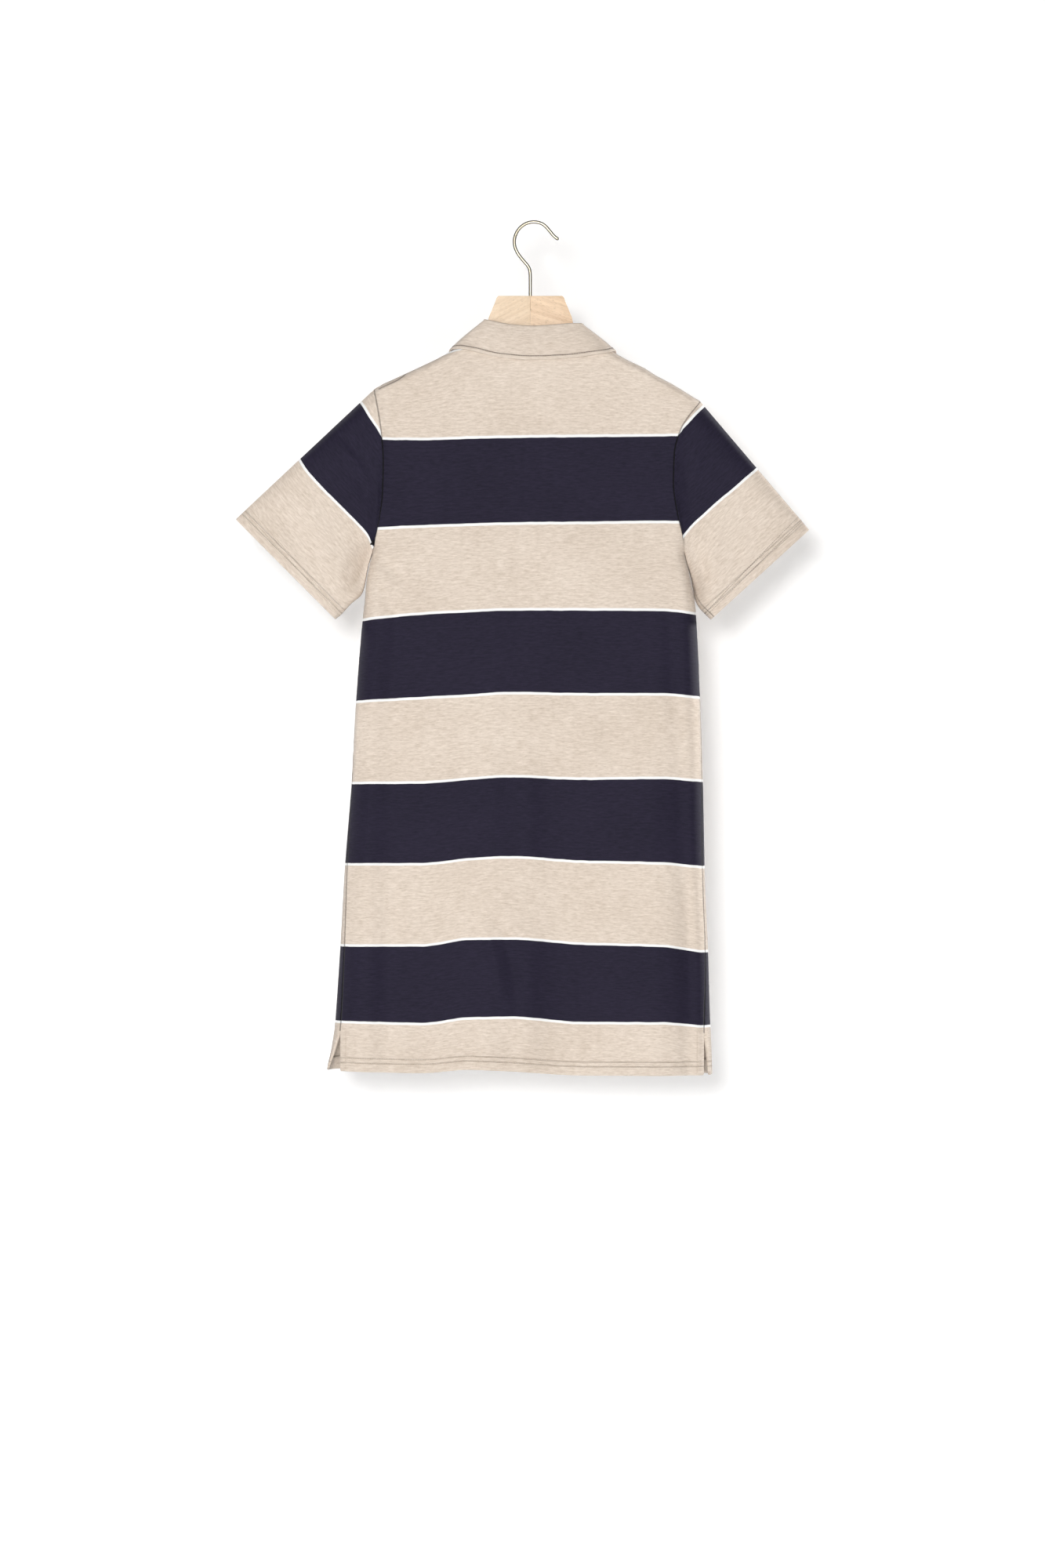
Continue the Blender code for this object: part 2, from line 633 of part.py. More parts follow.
def make_buttons():
    top = neckline_below(FRONT, NECK_X)
    shell = material("button", (0.78, 0.70, 0.60), 0.35)
    for number, drop in enumerate(BUTTON_DROPS, 1):
        below = top + drop
        rise = (course_below(UNDERARM, NECK_X) - below) / (course_below(UNDERARM, NECK_X) - top)
        x = centre_x(UNDERARM + (140.0 - UNDERARM) * rise)
        seat = cloth_y(FRONT, x, below, 1.0) + JERSEY / 2 + SEAM_GAP + 0.3
        disc = bmesh.new()
        radius, depth = BUTTON_RADIUS * MM, BUTTON_THICKNESS * MM
        bmesh.ops.create_cone(disc, cap_ends=True, segments=24, radius1=radius, radius2=radius, depth=depth)
        mesh = bpy.data.meshes.new(f"button_{number}")
        disc.to_mesh(mesh)
        disc.free()
        button = add_piece(f"button_{number}", mesh, shell)
        slope = math.atan2(cloth_y(FRONT, x, below + 6, 1.0) - cloth_y(FRONT, x, below - 6, 1.0), 12.0)
        button.rotation_euler = (math.pi / 2 - slope, 0.0, 0.0)
        button.location = (x * MM, (seat + BUTTON_THICKNESS / 2) * MM, -below * MM)
        edge = button.modifiers.new("rounded rim", "BEVEL")
        edge.width, edge.segments, edge.limit_method = 0.6 * MM, 2, "ANGLE"


# ---------------------------------------------------------------- hanger


def arm_outline(hand):
    """Outline of one half of the wood, from the top of the glue line outwards and back."""
    sign = -1 if hand == "left" else 1
    tip = ARM_TIP[hand]
    line = HANGER_X + sign * 0.15
    top = [(line, HANGER_NECK[0][1])] + [(HANGER_X + sign * half, below) for half, below in HANGER_NECK]
    neck_end = (NECK_LEFT if hand == "left" else NECK_RIGHT) + sign * 4.0
    reach = np.linspace(neck_end, tip, 12)
    upper = [(float(x), ridge_below(float(x)) + HANGER_UNDER_CLOTH) for x in reach]
    lower = []
    for x, (_, below) in zip(reach, upper):
        share = (x - neck_end) / (tip - neck_end)
        lower.append((float(x), below + ARM_HEIGHT_AT_NECK + (ARM_HEIGHT_AT_TIP - ARM_HEIGHT_AT_NECK) * share))
    nose = []
    middle = (upper[-1][1] + lower[-1][1]) / 2
    half = (lower[-1][1] - upper[-1][1]) / 2
    for k in range(1, 6):
        angle = math.pi * k / 6
        nose.append((tip + sign * 5.0 * math.sin(angle), middle - half * math.cos(angle)))
    arch = []
    foot = lower[0][1]
    for k in range(1, 6):
        share = k / 6
        x = neck_end + (line - neck_end) * share
        arch.append((x, foot - 14.0 * math.sin(math.pi / 2 * share)))
    return top + upper + nose + lower[::-1] + arch + [(line, foot - 14.0)]


def make_arm(hand, hole):
    outline = arm_outline(hand)
    curve = bpy.data.curves.new(f"outline_{hand}", "CURVE")
    curve.dimensions = "2D"
    curve.fill_mode = "BOTH"
    curve.extrude = HANGER_HALF_THICKNESS * MM
    spline = curve.splines.new("POLY")
    spline.points.add(len(outline) - 1)
    for point, (x, below) in zip(spline.points, outline):
        point.co = (x * MM, -below * MM, 0.0, 1.0)
    spline.use_cyclic_u = True
    flat = bpy.data.objects.new(f"outline_{hand}", curve)
    made.objects.link(flat)
    flat.rotation_euler = (math.pi / 2, 0.0, 0.0)
    bpy.context.view_layer.update()
    mesh = bpy.data.meshes.new_from_object(flat.evaluated_get(bpy.context.evaluated_depsgraph_get()))
    mesh.transform(flat.matrix_world)
    mesh.materials.clear()
    bpy.data.objects.remove(flat)
    weld = bmesh.new()
    weld.from_mesh(mesh)
    bmesh.ops.remove_doubles(weld, verts=weld.verts, dist=1e-6)
    bmesh.ops.dissolve_limit(weld, angle_limit=math.radians(1), verts=weld.verts, edges=weld.edges)
    weld.to_mesh(mesh)
    weld.free()
    arm = add_piece(f"hanger_arm_{hand}", mesh, material("beech", (0.80, 0.62, 0.42), 0.5))
    edge = arm.modifiers.new("rounded edges", "BEVEL")
    edge.width, edge.segments = WOOD_ROUNDING * MM, 2
    edge.limit_method, edge.angle_limit = "ANGLE", math.radians(60)
    cut = arm.modifiers.new("stem hole", "BOOLEAN")
    cut.operation, cut.object = "DIFFERENCE", hole
    return arm


def make_hook():
    """A bent wire: the tip, the arc over the rail, the sweep back to the middle and the stem."""
    arc = [math.radians(angle) for angle in range(38, 179, 10)]
    centre_x, centre_below = HOOK_CENTRE
    points = list(HOOK_TIP)
    points += [(centre_x + HOOK_RADIUS * math.cos(a), centre_below - HOOK_RADIUS * math.sin(a)) for a in arc]
    points += [*HOOK_SWEEP, (HANGER_X, 66.0), (HANGER_X, 80.0), (HANGER_X, STEM_FOOT)]
    curve = bpy.data.curves.new("hanger_hook", "CURVE")
    curve.dimensions = "3D"
    curve.bevel_depth = WIRE_RADIUS * MM
    curve.bevel_resolution = 3
    curve.use_fill_caps = True
    spline = curve.splines.new("POLY")
    spline.points.add(len(points) - 1)
    for point, (x, below) in zip(spline.points, points):
        point.co = (x * MM, 0.0, -below * MM, 1.0)
    hook = bpy.data.objects.new("hanger_hook", curve)
    curve.materials.append(material("hook_metal", (0.80, 0.74, 0.58), 0.28, 1.0))
    made.objects.link(hook)
    return hook


def make_stem_hole():
    """Cutter for the bored hole that the hook's stem stands in."""
    drill = bmesh.new()
    radius = HOLE_RADIUS * MM
    bmesh.ops.create_cone(drill, cap_ends=True, segments=20, radius1=radius, radius2=radius, depth=60 * MM)
    mesh = bpy.data.meshes.new("stem_hole")
    drill.to_mesh(mesh)
    drill.free()
    hole = bpy.data.objects.new("stem_hole", mesh)
    hole.location = (HANGER_X * MM, 0.0, -(STEM_FOOT + 0.6 - 30) * MM)
    hole.hide_render = True
    hole.display_type = "WIRE"
    cutters = bpy.data.collections.new("cutters")
    bpy.context.scene.collection.children.link(cutters)
    cutters.objects.link(hole)
    return hole


def main():
    global made
    for old in list(bpy.data.objects):
        bpy.data.objects.remove(old)
    made = bpy.data.collections.new("polo_dress_on_hanger")
    bpy.context.scene.collection.children.link(made)
    make_panel("back_panel", BACK)
    make_panel("front_panel", FRONT)
    make_sleeve("left")
    make_sleeve("right")
    make_collar()
    placket_strip("placket_top", PLACKET_HALF - SEAM_GAP, 0.0, 0.0)
    placket_strip("placket_under", PLACKET_HALF - 1.5, JERSEY + SEAM_GAP, 0.0)
    make_buttons()
    hole = make_stem_hole()
    make_arm("left", hole)
    make_arm("right", hole)
    make_hook()


main()
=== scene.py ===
"""The look of a striped jersey polo dress on its wooden hanger: cloth, stitching, buttons, wood and wire.

Frame: metres, +Z up. The origin is the point inside the top of the hook that a rail touches. The back of the
dress faces -Y, its front +Y, and +X is to the right of someone who looks at the back. The tables hold
millimetres, and a height in them is a distance below the origin ("below").
"""

import json
import math

import bmesh
import bpy
import numpy as np
from mathutils import Matrix, Vector

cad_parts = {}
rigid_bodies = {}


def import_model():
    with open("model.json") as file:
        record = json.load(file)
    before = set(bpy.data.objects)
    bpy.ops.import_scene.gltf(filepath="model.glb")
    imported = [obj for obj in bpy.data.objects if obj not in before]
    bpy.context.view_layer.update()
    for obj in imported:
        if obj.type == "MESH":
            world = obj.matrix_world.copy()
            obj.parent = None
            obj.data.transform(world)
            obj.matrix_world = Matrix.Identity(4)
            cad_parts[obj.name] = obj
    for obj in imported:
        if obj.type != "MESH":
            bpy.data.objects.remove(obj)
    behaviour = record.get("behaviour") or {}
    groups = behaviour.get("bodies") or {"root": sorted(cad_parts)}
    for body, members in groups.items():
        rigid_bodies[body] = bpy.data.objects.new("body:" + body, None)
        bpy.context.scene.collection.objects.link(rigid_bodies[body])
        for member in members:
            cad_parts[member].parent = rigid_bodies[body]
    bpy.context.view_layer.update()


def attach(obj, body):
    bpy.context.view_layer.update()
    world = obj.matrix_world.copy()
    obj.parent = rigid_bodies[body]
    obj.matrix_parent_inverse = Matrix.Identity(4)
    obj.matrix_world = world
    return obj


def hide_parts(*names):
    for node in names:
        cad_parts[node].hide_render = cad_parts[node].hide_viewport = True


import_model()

MM = 0.001
BACK, FRONT = -1, 1

# ---------------------------------------------------------------- cloth and folds (mm)

CLOTH = 1.1  # wall of the jersey
COLLAR_CLOTH = 1.9  # two layers pressed together
TURN = 0.85  # radius of a turned edge
SEAM_ALLOWANCE = 3.0  # how far a seam's edge goes into the dress
SLIT_FACING = 9.0  # how far a slit's edge is folded under
HEM_DEPTH = 19.0
HEM_ROWS, CUFF_ROWS = (9.7, 15.5), (9.7, 15.0)  # rows of stitches, from the folded edge
SLIT_ROW, COLLAR_ROW = 9.3, 4.9
BAND_HEIGHT = 105.0  # of a usual band, on the unrolled cloth
SHOULDER_LEVEL = 140.0  # where the middle line of a panel ends

COURSE_X = (-224, -137, -79, -30, 57, 154, 206)
COURSES = (
    # course, left side, left quarter, left middle, crest, dip, right quarter, right side
    ("underarm", 399.5, 402.5, 402.5, 402.5, 404.5, 408.5, 411),
    ("line 3", 492.5, 483.5, 480.5, 478.5, 478.5, 479, 484),
    ("line 4", 592.5, 587.5, 584.5, 581.5, 583, 583, 587),
    ("line 5", 692.5, 691.5, 687, 684, 687, 686, 689.5),
    ("line 6", 792.5, 792, 786, 783.5, 789, 791, 796),
    ("line 7", 892.5, 892, 884, 883.5, 890, 892.5, 900),
    ("line 8", 986.5, 988.5, 981.5, 980.5, 987.5, 987.5, 992),
    ("slit top", 997.5, 999.5, 993.5, 993, 999, 999.5, 1000),
    ("hem", 1046, 1048, 1043.5, 1045.5, 1051, 1051, 1051),
)
LEVELS = tuple(row[3] for row in COURSES)
UNDERARM, SLIT_TOP, HEM = LEVELS[0], LEVELS[7], LEVELS[8]
LINE_0 = (175, 168.5, 154, 150, 150, 162, 171)
LINE_1 = (266.7, 267.9, 266.2, 265.2, 264.2, 263.3, 261.8)
LINE_2 = (380.1, 375.8, 373.8, 372.4, 371.6, 370.4, 371.4)
BAND_ABOVE, BAND_BELOW = 108.5, 104.0  # height of a band above the first line and below the last one

SIDES = (
    # level, left reach, left seam_in, right reach, right seam_in
    (UNDERARM, -197.4, 0, 186.2, 0),
    (419, -202, 0, 189.8, 0),
    (436, -206.2, 0, 193.2, 0),
    (462, -209, 0, 198.2, 0),
    (LEVELS[1], -211.5, 0, 200, 0),
    (LEVELS[2], -219.5, 0, 205, 0.3),
    (LEVELS[3], -225, 0.8, 208.6, 1.8),
    (LEVELS[4], -233, 3.2, 210.8, 3.4),
    (LEVELS[5], -238.8, 5.6, 215, 4.2),
    (LEVELS[6], -245.2, 7.6, 217.8, 8.5),
    (SLIT_TOP, -246.2, 7.8, 218.4, 9.2),
    (HEM, -246.2, 7.8, 218.4, 9.2),
)
FRONT_FLAPS = (
    # level, left reach, left seam_in, right reach, right seam_in
    (SLIT_TOP, -246.2, 7.8, 218.4, 9.2),
    (1018, -250, 3.6, 219.4, 6),
    (HEM, -255.4, 0, 220.2, 3.9),
)
ARMHOLES = {
    # rises, and x at each
    "left": (
        (0, 0.14, 0.19, 0.34, 0.54, 0.72, 1),
        (-197.4, -192.1, -190.1, -186.7, -185.8, -188.2, -196.9),
    ),
    "right": (
        (0, 0.12, 0.23, 0.46, 0.66, 0.81, 1),
        (186.2, 183.3, 178.4, 172.1, 173.3, 180.9, 205.1),
    ),
}
RIDGE = (
    # x, below
    (-196.9, 205.6),
    (-186.2, 199),
    (-165, 189.5),
    (-143.5, 179.5),
    (-120.3, 168.5),
    (-104.8, 160),
    (-81.5, 147.5),
    (75.7, 148.5),
    (98.9, 160),
    (115.4, 169.5),
    (136.8, 179.5),
    (151.3, 189),
    (170.7, 199),
    (186.2, 208.5),
    (205.1, 220.5),
)
NECK_LEFT, NECK_RIGHT = -81.5, 75.7
NECK_X = (NECK_LEFT + NECK_RIGHT) / 2
NECK_HALF = (NECK_RIGHT - NECK_LEFT) / 2
BACK_NECK_DROP, FRONT_NECK_DROP = 9.5, 80.0
RIDGE_RADIUS = 8.5
DEPTHS = (
    # below, back, front
    (140, 14, 14),
    (230, 16, 18),
    (330, 19, 22),
    (405, 23, 25),
    (600, 29, 31),
    (790, 33, 35),
    (1050, 37, 39),
)
SIDE_ROUNDING = 0.9
FOLDS = (
    # side, x at top, x at foot, top, foot, height, half width
    (BACK, 172, 193, 400, 1075, -6.4, 12),
    (BACK, 144, 150, 520, 1051, 5, 22),
    (BACK, -198, -207, 440, 1060, 2.4, 12),
    (BACK, -173, -181, 420, 1060, -3.2, 13),
    (BACK, -44, -50, 620, 1051, 6.4, 38),
    (BACK, 32, 38, 620, 1051, -7.2, 33),
    (BACK, -132, -142, 600, 1051, -3, 30),
    (FRONT, -105, -125, 620, 1051, -4.5, 38),
    (FRONT, 2, 4, 640, 1051, 5, 46),
    (FRONT, 100, 112, 560, 1051, -5, 34),
    (FRONT, 165, 176, 480, 1051, 3, 22),
)
# Smaller creases: each follows its path of (x, below) and fades out at both ends. A minus height is a trough.
CREASES = (
    # side, height, half width, path
    (BACK, -3.8, 8.5, ((-44, 850), (-36, 886), (-27, 918), (-23, 945), (-22, 985))),
    (BACK, 2, 5.5, ((-62, 848), (-57, 880), (-48, 911), (-43, 940), (-43, 968))),
    (BACK, 2.4, 13, ((-4, 860), (-6, 940), (-6, 1062))),
    (BACK, 2, 11, ((-58, 960), (-60, 1010), (-60, 1072))),
    (BACK, -1.8, 12, ((-32, 985), (-30, 1020), (-28, 1062))),
    (BACK, 2.2, 14, ((-48, 395), (-46, 500), (-52, 640), (-54, 800))),
    (BACK, 2.4, 12, ((-10, 600), (-6, 700), (-2, 830))),
    (BACK, 2, 12, ((138, 640), (142, 740), (144, 830))),
    (BACK, 2.2, 14, ((108, 700), (112, 900), (112, 1040))),
    (BACK, -2.2, 12, ((88, 560), (92, 650), (94, 740))),
    (BACK, 1.6, 7, ((203, 500), (207, 700), (209, 960))),
    (BACK, -3, 7, ((188, 780), (193, 900), (195, 960), (193, 1010))),
    (BACK, -2, 10, ((-168, 420), (-172, 520), (-178, 640))),
    (BACK, 1.6, 14, ((-118, 860), (-126, 940), (-128, 1050))),
    (BACK, -2.6, 7, ((-198, 410), (-184, 424), (-158, 446))),
    (BACK, -2, 6, ((-200, 432), (-188, 455), (-172, 492))),
    (BACK, -1.6, 7, ((184, 424), (172, 446), (156, 480))),
    (BACK, -2, 8, ((164, 470), (168, 540), (170, 620))),
    (BACK, 5, 9, ((180, 392), (187, 425), (191, 480))),
    (FRONT, 3.2, 9, ((40, 840), (34, 900), (30, 980))),
    (FRONT, -3, 13, ((12, 800), (6, 900), (2, 1030))),
    (FRONT, -2.4, 16, ((-60, 440), (-66, 560), (-70, 700))),
    (FRONT, -2.6, 15, ((70, 520), (76, 660), (80, 800))),
    (FRONT, -2.4, 7, ((186, 416), (172, 432), (148, 452))),
    (FRONT, -2.4, 7, ((-196, 414), (-182, 430), (-158, 452))),
)
# Where the left shoulder seam shows on the back.
SHOULDER_SEAM = ((-191, 206), (-180, 200.8), (-168, 195.2), (-160, 189.8), (-156, 183))

SLEEVES = {
    "left": {
        "cuff_top": (-367.6, 365.6),
        "cuff_half_depth": 14,
        "underside": (
            # share of the length, x, below, tuck behind the body
            (0, -199.4, 398.3, 0),
            (0.125, -202.4, 412, 1),
            (0.25, -205.4, 423.8, 1.5),
            (0.5, -210, 449, 1.5),
            (0.62, -213.6, 458.7, 1),
            (0.78, -227.5, 471.3, 0),
            (0.9, -237, 482, 0),
            (1, -245, 488.6, 0),
        ),
        # white lines: their points as (x, below)
        "lines": (
            (
                *((-215.3, 219.5), (-208.6, 229.8), (-202.7, 239.4)),
                *((-196.9, 248.4), (-191.1, 257.2), (-188.6, 261.8)),
            ),
            (
                *((-290.8, 291.5), (-277, 311.6), (-262.3, 327.4), (-239, 350.7)),
                *((-220, 369.7), (-207.3, 383.3), (-199.2, 400.3)),
            ),
        ),
    },
    "right": {
        "cuff_top": (339.5, 378.5),
        "cuff_half_depth": 14,
        "underside": (
            (0, 188.2, 409.7, 0),
            (0.125, 190.6, 422, 4),
            (0.25, 193.2, 432, 8),
            (0.5, 197.6, 452, 10),
            (0.62, 199.6, 463.5, 8),
            (0.78, 204.6, 474.5, 4),
            (0.9, 211.5, 482, 1),
            (1, 218.3, 489.2, 0),
        ),
        "lines": (
            ((211, 225), (201.5, 235), (192, 245), (183.1, 254.5), (180.5, 259)),
            ((274.7, 304.9), (255, 322.2), (222.2, 349.7), (199, 370.8), (183.1, 388.9)),
        ),
    },
}

COLLAR = (
    # turn, fold x, fold below, fold y, leaf edge x, leaf edge below, leaf edge y
    (-170, -9, 214, 24, -50, 274, 26),
    (-150, -27, 196, 22, -84, 246, 24),
    (-125, -50, 150, 18, -105, 198, 16),
    (-105, -59.4, 126, 12, -106, 170, 12),
    (-90, -60.6, 119.6, 0, -103.5, 156.1, 0),
    (-75, -59.8, 120.2, -8.5, -95, 156, -12),
    (-55, -50, 122.5, -12, -75, 159.4, -15),
    (-30, -29, 126.8, -14, -44, 166.7, -17),
    (0, -2, 128.5, -14.5, -2, 170.2, -18),
    (30, 26, 127, -14, 40, 168.4, -17),
    (55, 48, 125.2, -12, 72, 164.3, -15),
    (75, 58.5, 125, -8.5, 92, 161, -12),
    (90, 60, 125.2, 0, 100.9, 158, 0),
    (105, 58.5, 132, 13, 102.5, 172, 12),
    (125, 47, 153, 18.5, 100, 199, 16),
    (150, 21, 197, 22, 78, 248, 24),
    (170, 3, 214, 24, 44, 275, 26),
)
COLLAR_GAP = 1.8
FOLD_RADIUS = 1.3
LEAF_GAP = 1.5
PLACKET_HALF = 16.0
BUTTON_DROPS = (14, 78, 142)
BUTTON_RADIUS, BUTTON_THICKNESS = 5.7, 2.2

HANGER_X = -4.4
HANGER_HALF_THICKNESS = 6.0
HANGER_UNDER_CLOTH = 2.6
HANGER_NECK = (
    # half width, below
    (39.5, 90.1),
    (41.6, 92.3),
    (43.6, 98),
    (46.2, 104),
    (49, 111),
    (51.8, 118),
    (53, 126),
    (55.5, 136),
    (60, 145),
    (66, 151.5),
)
ARM_TIP = {"left": -186.0, "right": 193.0}
ARM_HEIGHT_AT_NECK, ARM_HEIGHT_AT_TIP = 36.0, 20.0
WIRE_RADIUS = 1.95
HOOK_RADIUS = (24.4, 25.6)
HOOK_CENTRE = (0, 23.6)
HOOK_TIP = ((30.6, 20), (26.8, 17.2), (23.8, 14.5), (20.8, 10.8), (17.7, 6.9), (14.4, 3.5))
HOOK_SWEEP = (
    (-23.6, 28.6),
    (-21.8, 33.4),
    (-19.1, 38.2),
    (-15.7, 42.8),
    (-12.2, 46.9),
    (-8.9, 50.6),
    (-6.3, 54.4),
    (-4.9, 58.6),
)
STEM_FOOT = 108.0

# ---------------------------------------------------------------- curves through the tables


def smooth(stations, values, at):
    """A curve through the stations that never overshoots them. values may be a whole row for each station."""
    x = np.asarray(stations, float)
    y = np.asarray(values, float)
    shape = np.shape(at)
    at = np.clip(np.asarray(at, float).ravel(), x[0], x[-1])
    if y.ndim == 1:
        y = np.broadcast_to(y[:, None], (len(x), at.size))
    step = np.diff(x)[:, None]
    slope = np.diff(y, axis=0) / step
    product = slope[:-1] * slope[1:]
    total = np.where(product > 0, slope[:-1] + slope[1:], 1.0)
    tangent = np.concatenate([slope[:1], np.where(product > 0, 2 * product / total, 0.0), slope[-1:]])
    i = np.clip(np.searchsorted(x, at, side="right") - 1, 0, len(x) - 2)
    n = np.arange(at.size)
    gap = step[i, 0]
    t = (at - x[i]) / gap
    rise = y[i, n] + (y[i + 1, n] - y[i, n]) * t * t * (3 - 2 * t)
    bend = gap * (tangent[i, n] * t * (1 - t) ** 2 - tangent[i + 1, n] * t * t * (1 - t))
    return (rise + bend).reshape(shape)


def column(table, index):
    return [row[index] for row in table]


def from_table(table, index, at):
    """A column's value on a smooth curve, from the table's first column."""
    return smooth(column(table, 0), column(table, index), at)


def bell(distance, width, power=2):
    """1 in the middle and nothing far from it. A higher power has a flatter top."""
    return np.exp(-((distance / width) ** power))


def rounding(share):
    """Quarter circle: 0 at the edge of a rounded side, 1 from a share of 1 on."""
    share = np.clip(share, 0.0, 1.0)
    return np.sqrt(1 - (1 - share) ** 2)


def course_below(level, x):
    """Height of the course called `level` at x."""
    level, x = np.broadcast_arrays(np.asarray(level, float), np.asarray(x, float))
    heights = [smooth(LEVELS, column(COURSES, 1 + i), level.ravel()) for i in range(len(COURSE_X))]
    return smooth(COURSE_X, np.array(heights), x.ravel()).reshape(x.shape)


def band_at(x, below):
    """Which band a point of a panel lies in: a whole number on each white line, odd to even is navy."""
    x, below = np.broadcast_arrays(np.asarray(x, float), np.asarray(below, float))
    lines = [LINE_0, LINE_1, LINE_2] + [row[1:] for row in COURSES[1:7]]
    heights = [smooth(COURSE_X, line, x) for line in lines]
    heights = [heights[0] - BAND_ABOVE] + heights + [heights[-1] + BAND_BELOW]
    band = np.full(x.shape, -1.0)
    for high, low in zip(heights, heights[1:]):
        band += np.clip((below - high) / (low - high), 0.0, 1.0)
    return band


def ridge_below(x):
    return np.interp(x, column(RIDGE, 0), column(RIDGE, 1))


def neckline_below(face, x):
    """Height of the cut neck edge between the high shoulder points."""
    drop = BACK_NECK_DROP if face == BACK else FRONT_NECK_DROP
    across = np.minimum(1.0, np.abs(x - NECK_X) / NECK_HALF)
    return ridge_below(x) + drop * (1 - across**2.2) ** 0.75


def virtual_ridge_below(x):
    """The ridge, carried on over the neck hole so that the cloth beside it keeps its depth."""
    across = np.minimum(1.0, np.abs(x - NECK_X) / NECK_HALF)
    return np.where(across == 1.0, ridge_below(x), neckline_below(BACK, x) - RIDGE_RADIUS * (1 - across))


def half_depth(face, below):
    return from_table(DEPTHS, 1 if face == BACK else 2, below)


def folds(face, x, below):
    """Height that the long folds of one side add."""
    total = np.zeros(np.shape(x))
    for side, x_top, x_foot, top, foot, height, half_width in FOLDS:
        if side != face:
            continue
        share = np.clip((below - top) / (foot - top), 0.0, 1.0)
        middle = x_top + (x_foot - x_top) * share
        grown = np.sin(np.pi * share) if foot < HEM else np.sin(np.pi / 2 * share)
        total += height * grown * bell(x - middle, half_width)
    return total


def from_path(path, x, below):
    """Distance from a path, and the share of it walked at the nearest point."""
    path = np.array(path)
    steps = np.hypot(*np.diff(path, axis=0).T)
    start = np.concatenate([[0.0], np.cumsum(steps)])
    nearest = np.full(np.shape(x), 1e9)
    along = np.zeros(np.shape(x))
    for k, step in enumerate(steps):
        (ax, ay), (bx, by) = path[k], path[k + 1]
        t = np.clip(((x - ax) * (bx - ax) + (below - ay) * (by - ay)) / step**2, 0.0, 1.0)
        away = np.hypot(x - ax - t * (bx - ax), below - ay - t * (by - ay))
        along = np.where(away < nearest, (start[k] + t * step) / start[-1], along)
        nearest = np.minimum(nearest, away)
    return nearest, along


def creases(table, side, x, below):
    """Height that the small creases of one side add."""
    total = np.zeros(np.shape(x))
    for face, height, half_width, path in table:
        if face == side:
            away, along = from_path(path, x, below)
            total += height * np.sin(np.pi * along) ** 0.7 * bell(away, half_width)
    return total


def ripple(x, below, seed, size):
    """Slight unevenness of hanging cloth, longer up and down than across."""
    rng = np.random.default_rng(seed)
    total = np.zeros(np.shape(x))
    for _ in range(9):
        width, height = rng.uniform(38, 120), rng.uniform(150, 520)
        lean, start = rng.uniform(-0.25, 0.25), rng.uniform(0, 2 * np.pi)
        total += np.sin(2 * np.pi * ((x + lean * below) / width + below / height) + start) * width / 120
    return size * total / 3


def cloth_y(face, x, below, side_share, least=CLOTH / 2 + 0.06):
    """Y of the cloth, from how rounded the side and the shoulder are there."""
    top_share = rounding((below - virtual_ridge_below(x)) / RIDGE_RADIUS)
    open_share = side_share**2 * top_share**2
    depth = half_depth(face, below) * side_share * top_share
    depth += folds(face, x, below) * side_share**3 * top_share
    depth += (creases(CREASES, face, x, below) + ripple(x, below, 7 + face, 0.55)) * open_share
    return face * np.maximum(least, depth)


# ---------------------------------------------------------------- panels


def centre_x(level):
    """X of a panel's middle line, which leans as the dress hangs."""
    return np.interp(level, (SHOULDER_LEVEL, UNDERARM, LEVELS[3], HEM), (NECK_X, NECK_X - 2.0, -8.0, -14.5))


def level_at(rise):
    """Level of the middle line at a rise of 0 at the underarm to 1 at the shoulder."""
    return UNDERARM + (SHOULDER_LEVEL - UNDERARM) * rise


def armhole_share(rise):
    return rounding(rise / 0.35) * rounding((1 - rise) / 0.12)


def edge_below(rise, hand):
    corner, underarm = (RIDGE[0][1], COURSES[0][1]) if hand == "left" else (RIDGE[-1][1], COURSES[0][7])
    return underarm + (corner - underarm) * rise


def outer_line(face, level, rise, hand, shares):
    """(x, side share) of the points from a panel's edge to the line below the neck point."""
    sign = -1 if hand == "left" else 1
    if rise > 0:
        below = edge_below(rise, hand)
        inner_x = centre_x(below) + sign * NECK_HALF
        start = math.asin(float(armhole_share(rise)))
        rounded = SIDE_ROUNDING * float(half_depth(face, below))
        edge_x = float(smooth(*ARMHOLES[hand], rise))
        reach = edge_x + sign * rounded * (1 - math.cos(start))
    else:
        inner_x = centre_x(level) + sign * NECK_HALF
        table = FRONT_FLAPS if face == FRONT and level > SLIT_TOP else SIDES
        first = 1 if hand == "left" else 3
        reach, seam_in = (float(from_table(table, index, level)) for index in (first, first + 1))
        below = float(course_below(level, reach))
        rounded = SIDE_ROUNDING * float(half_depth(BACK, below))
        start = math.acos(1 - seam_in / rounded) * (1 if face == BACK else -1)
    angles = np.linspace(start, math.pi / 2, 60)
    own, far = float(half_depth(face, below)), float(half_depth(-face, below))
    xs = np.append(reach - sign * rounded * (1 - np.cos(angles)), inner_x)
    sines = np.append(np.sin(angles), 1.0)
    ys = np.append(np.where(angles >= 0, own, far) * np.sin(angles), own)
    length = np.concatenate([[0.0], np.cumsum(np.hypot(np.diff(xs), np.diff(ys)))])
    first_point = 0.0 if rise > 0 else CLOTH / 2 + 0.1
    wanted = first_point + (length[-1] - first_point) * shares
    return np.interp(wanted, length, xs), np.interp(wanted, length, sines)


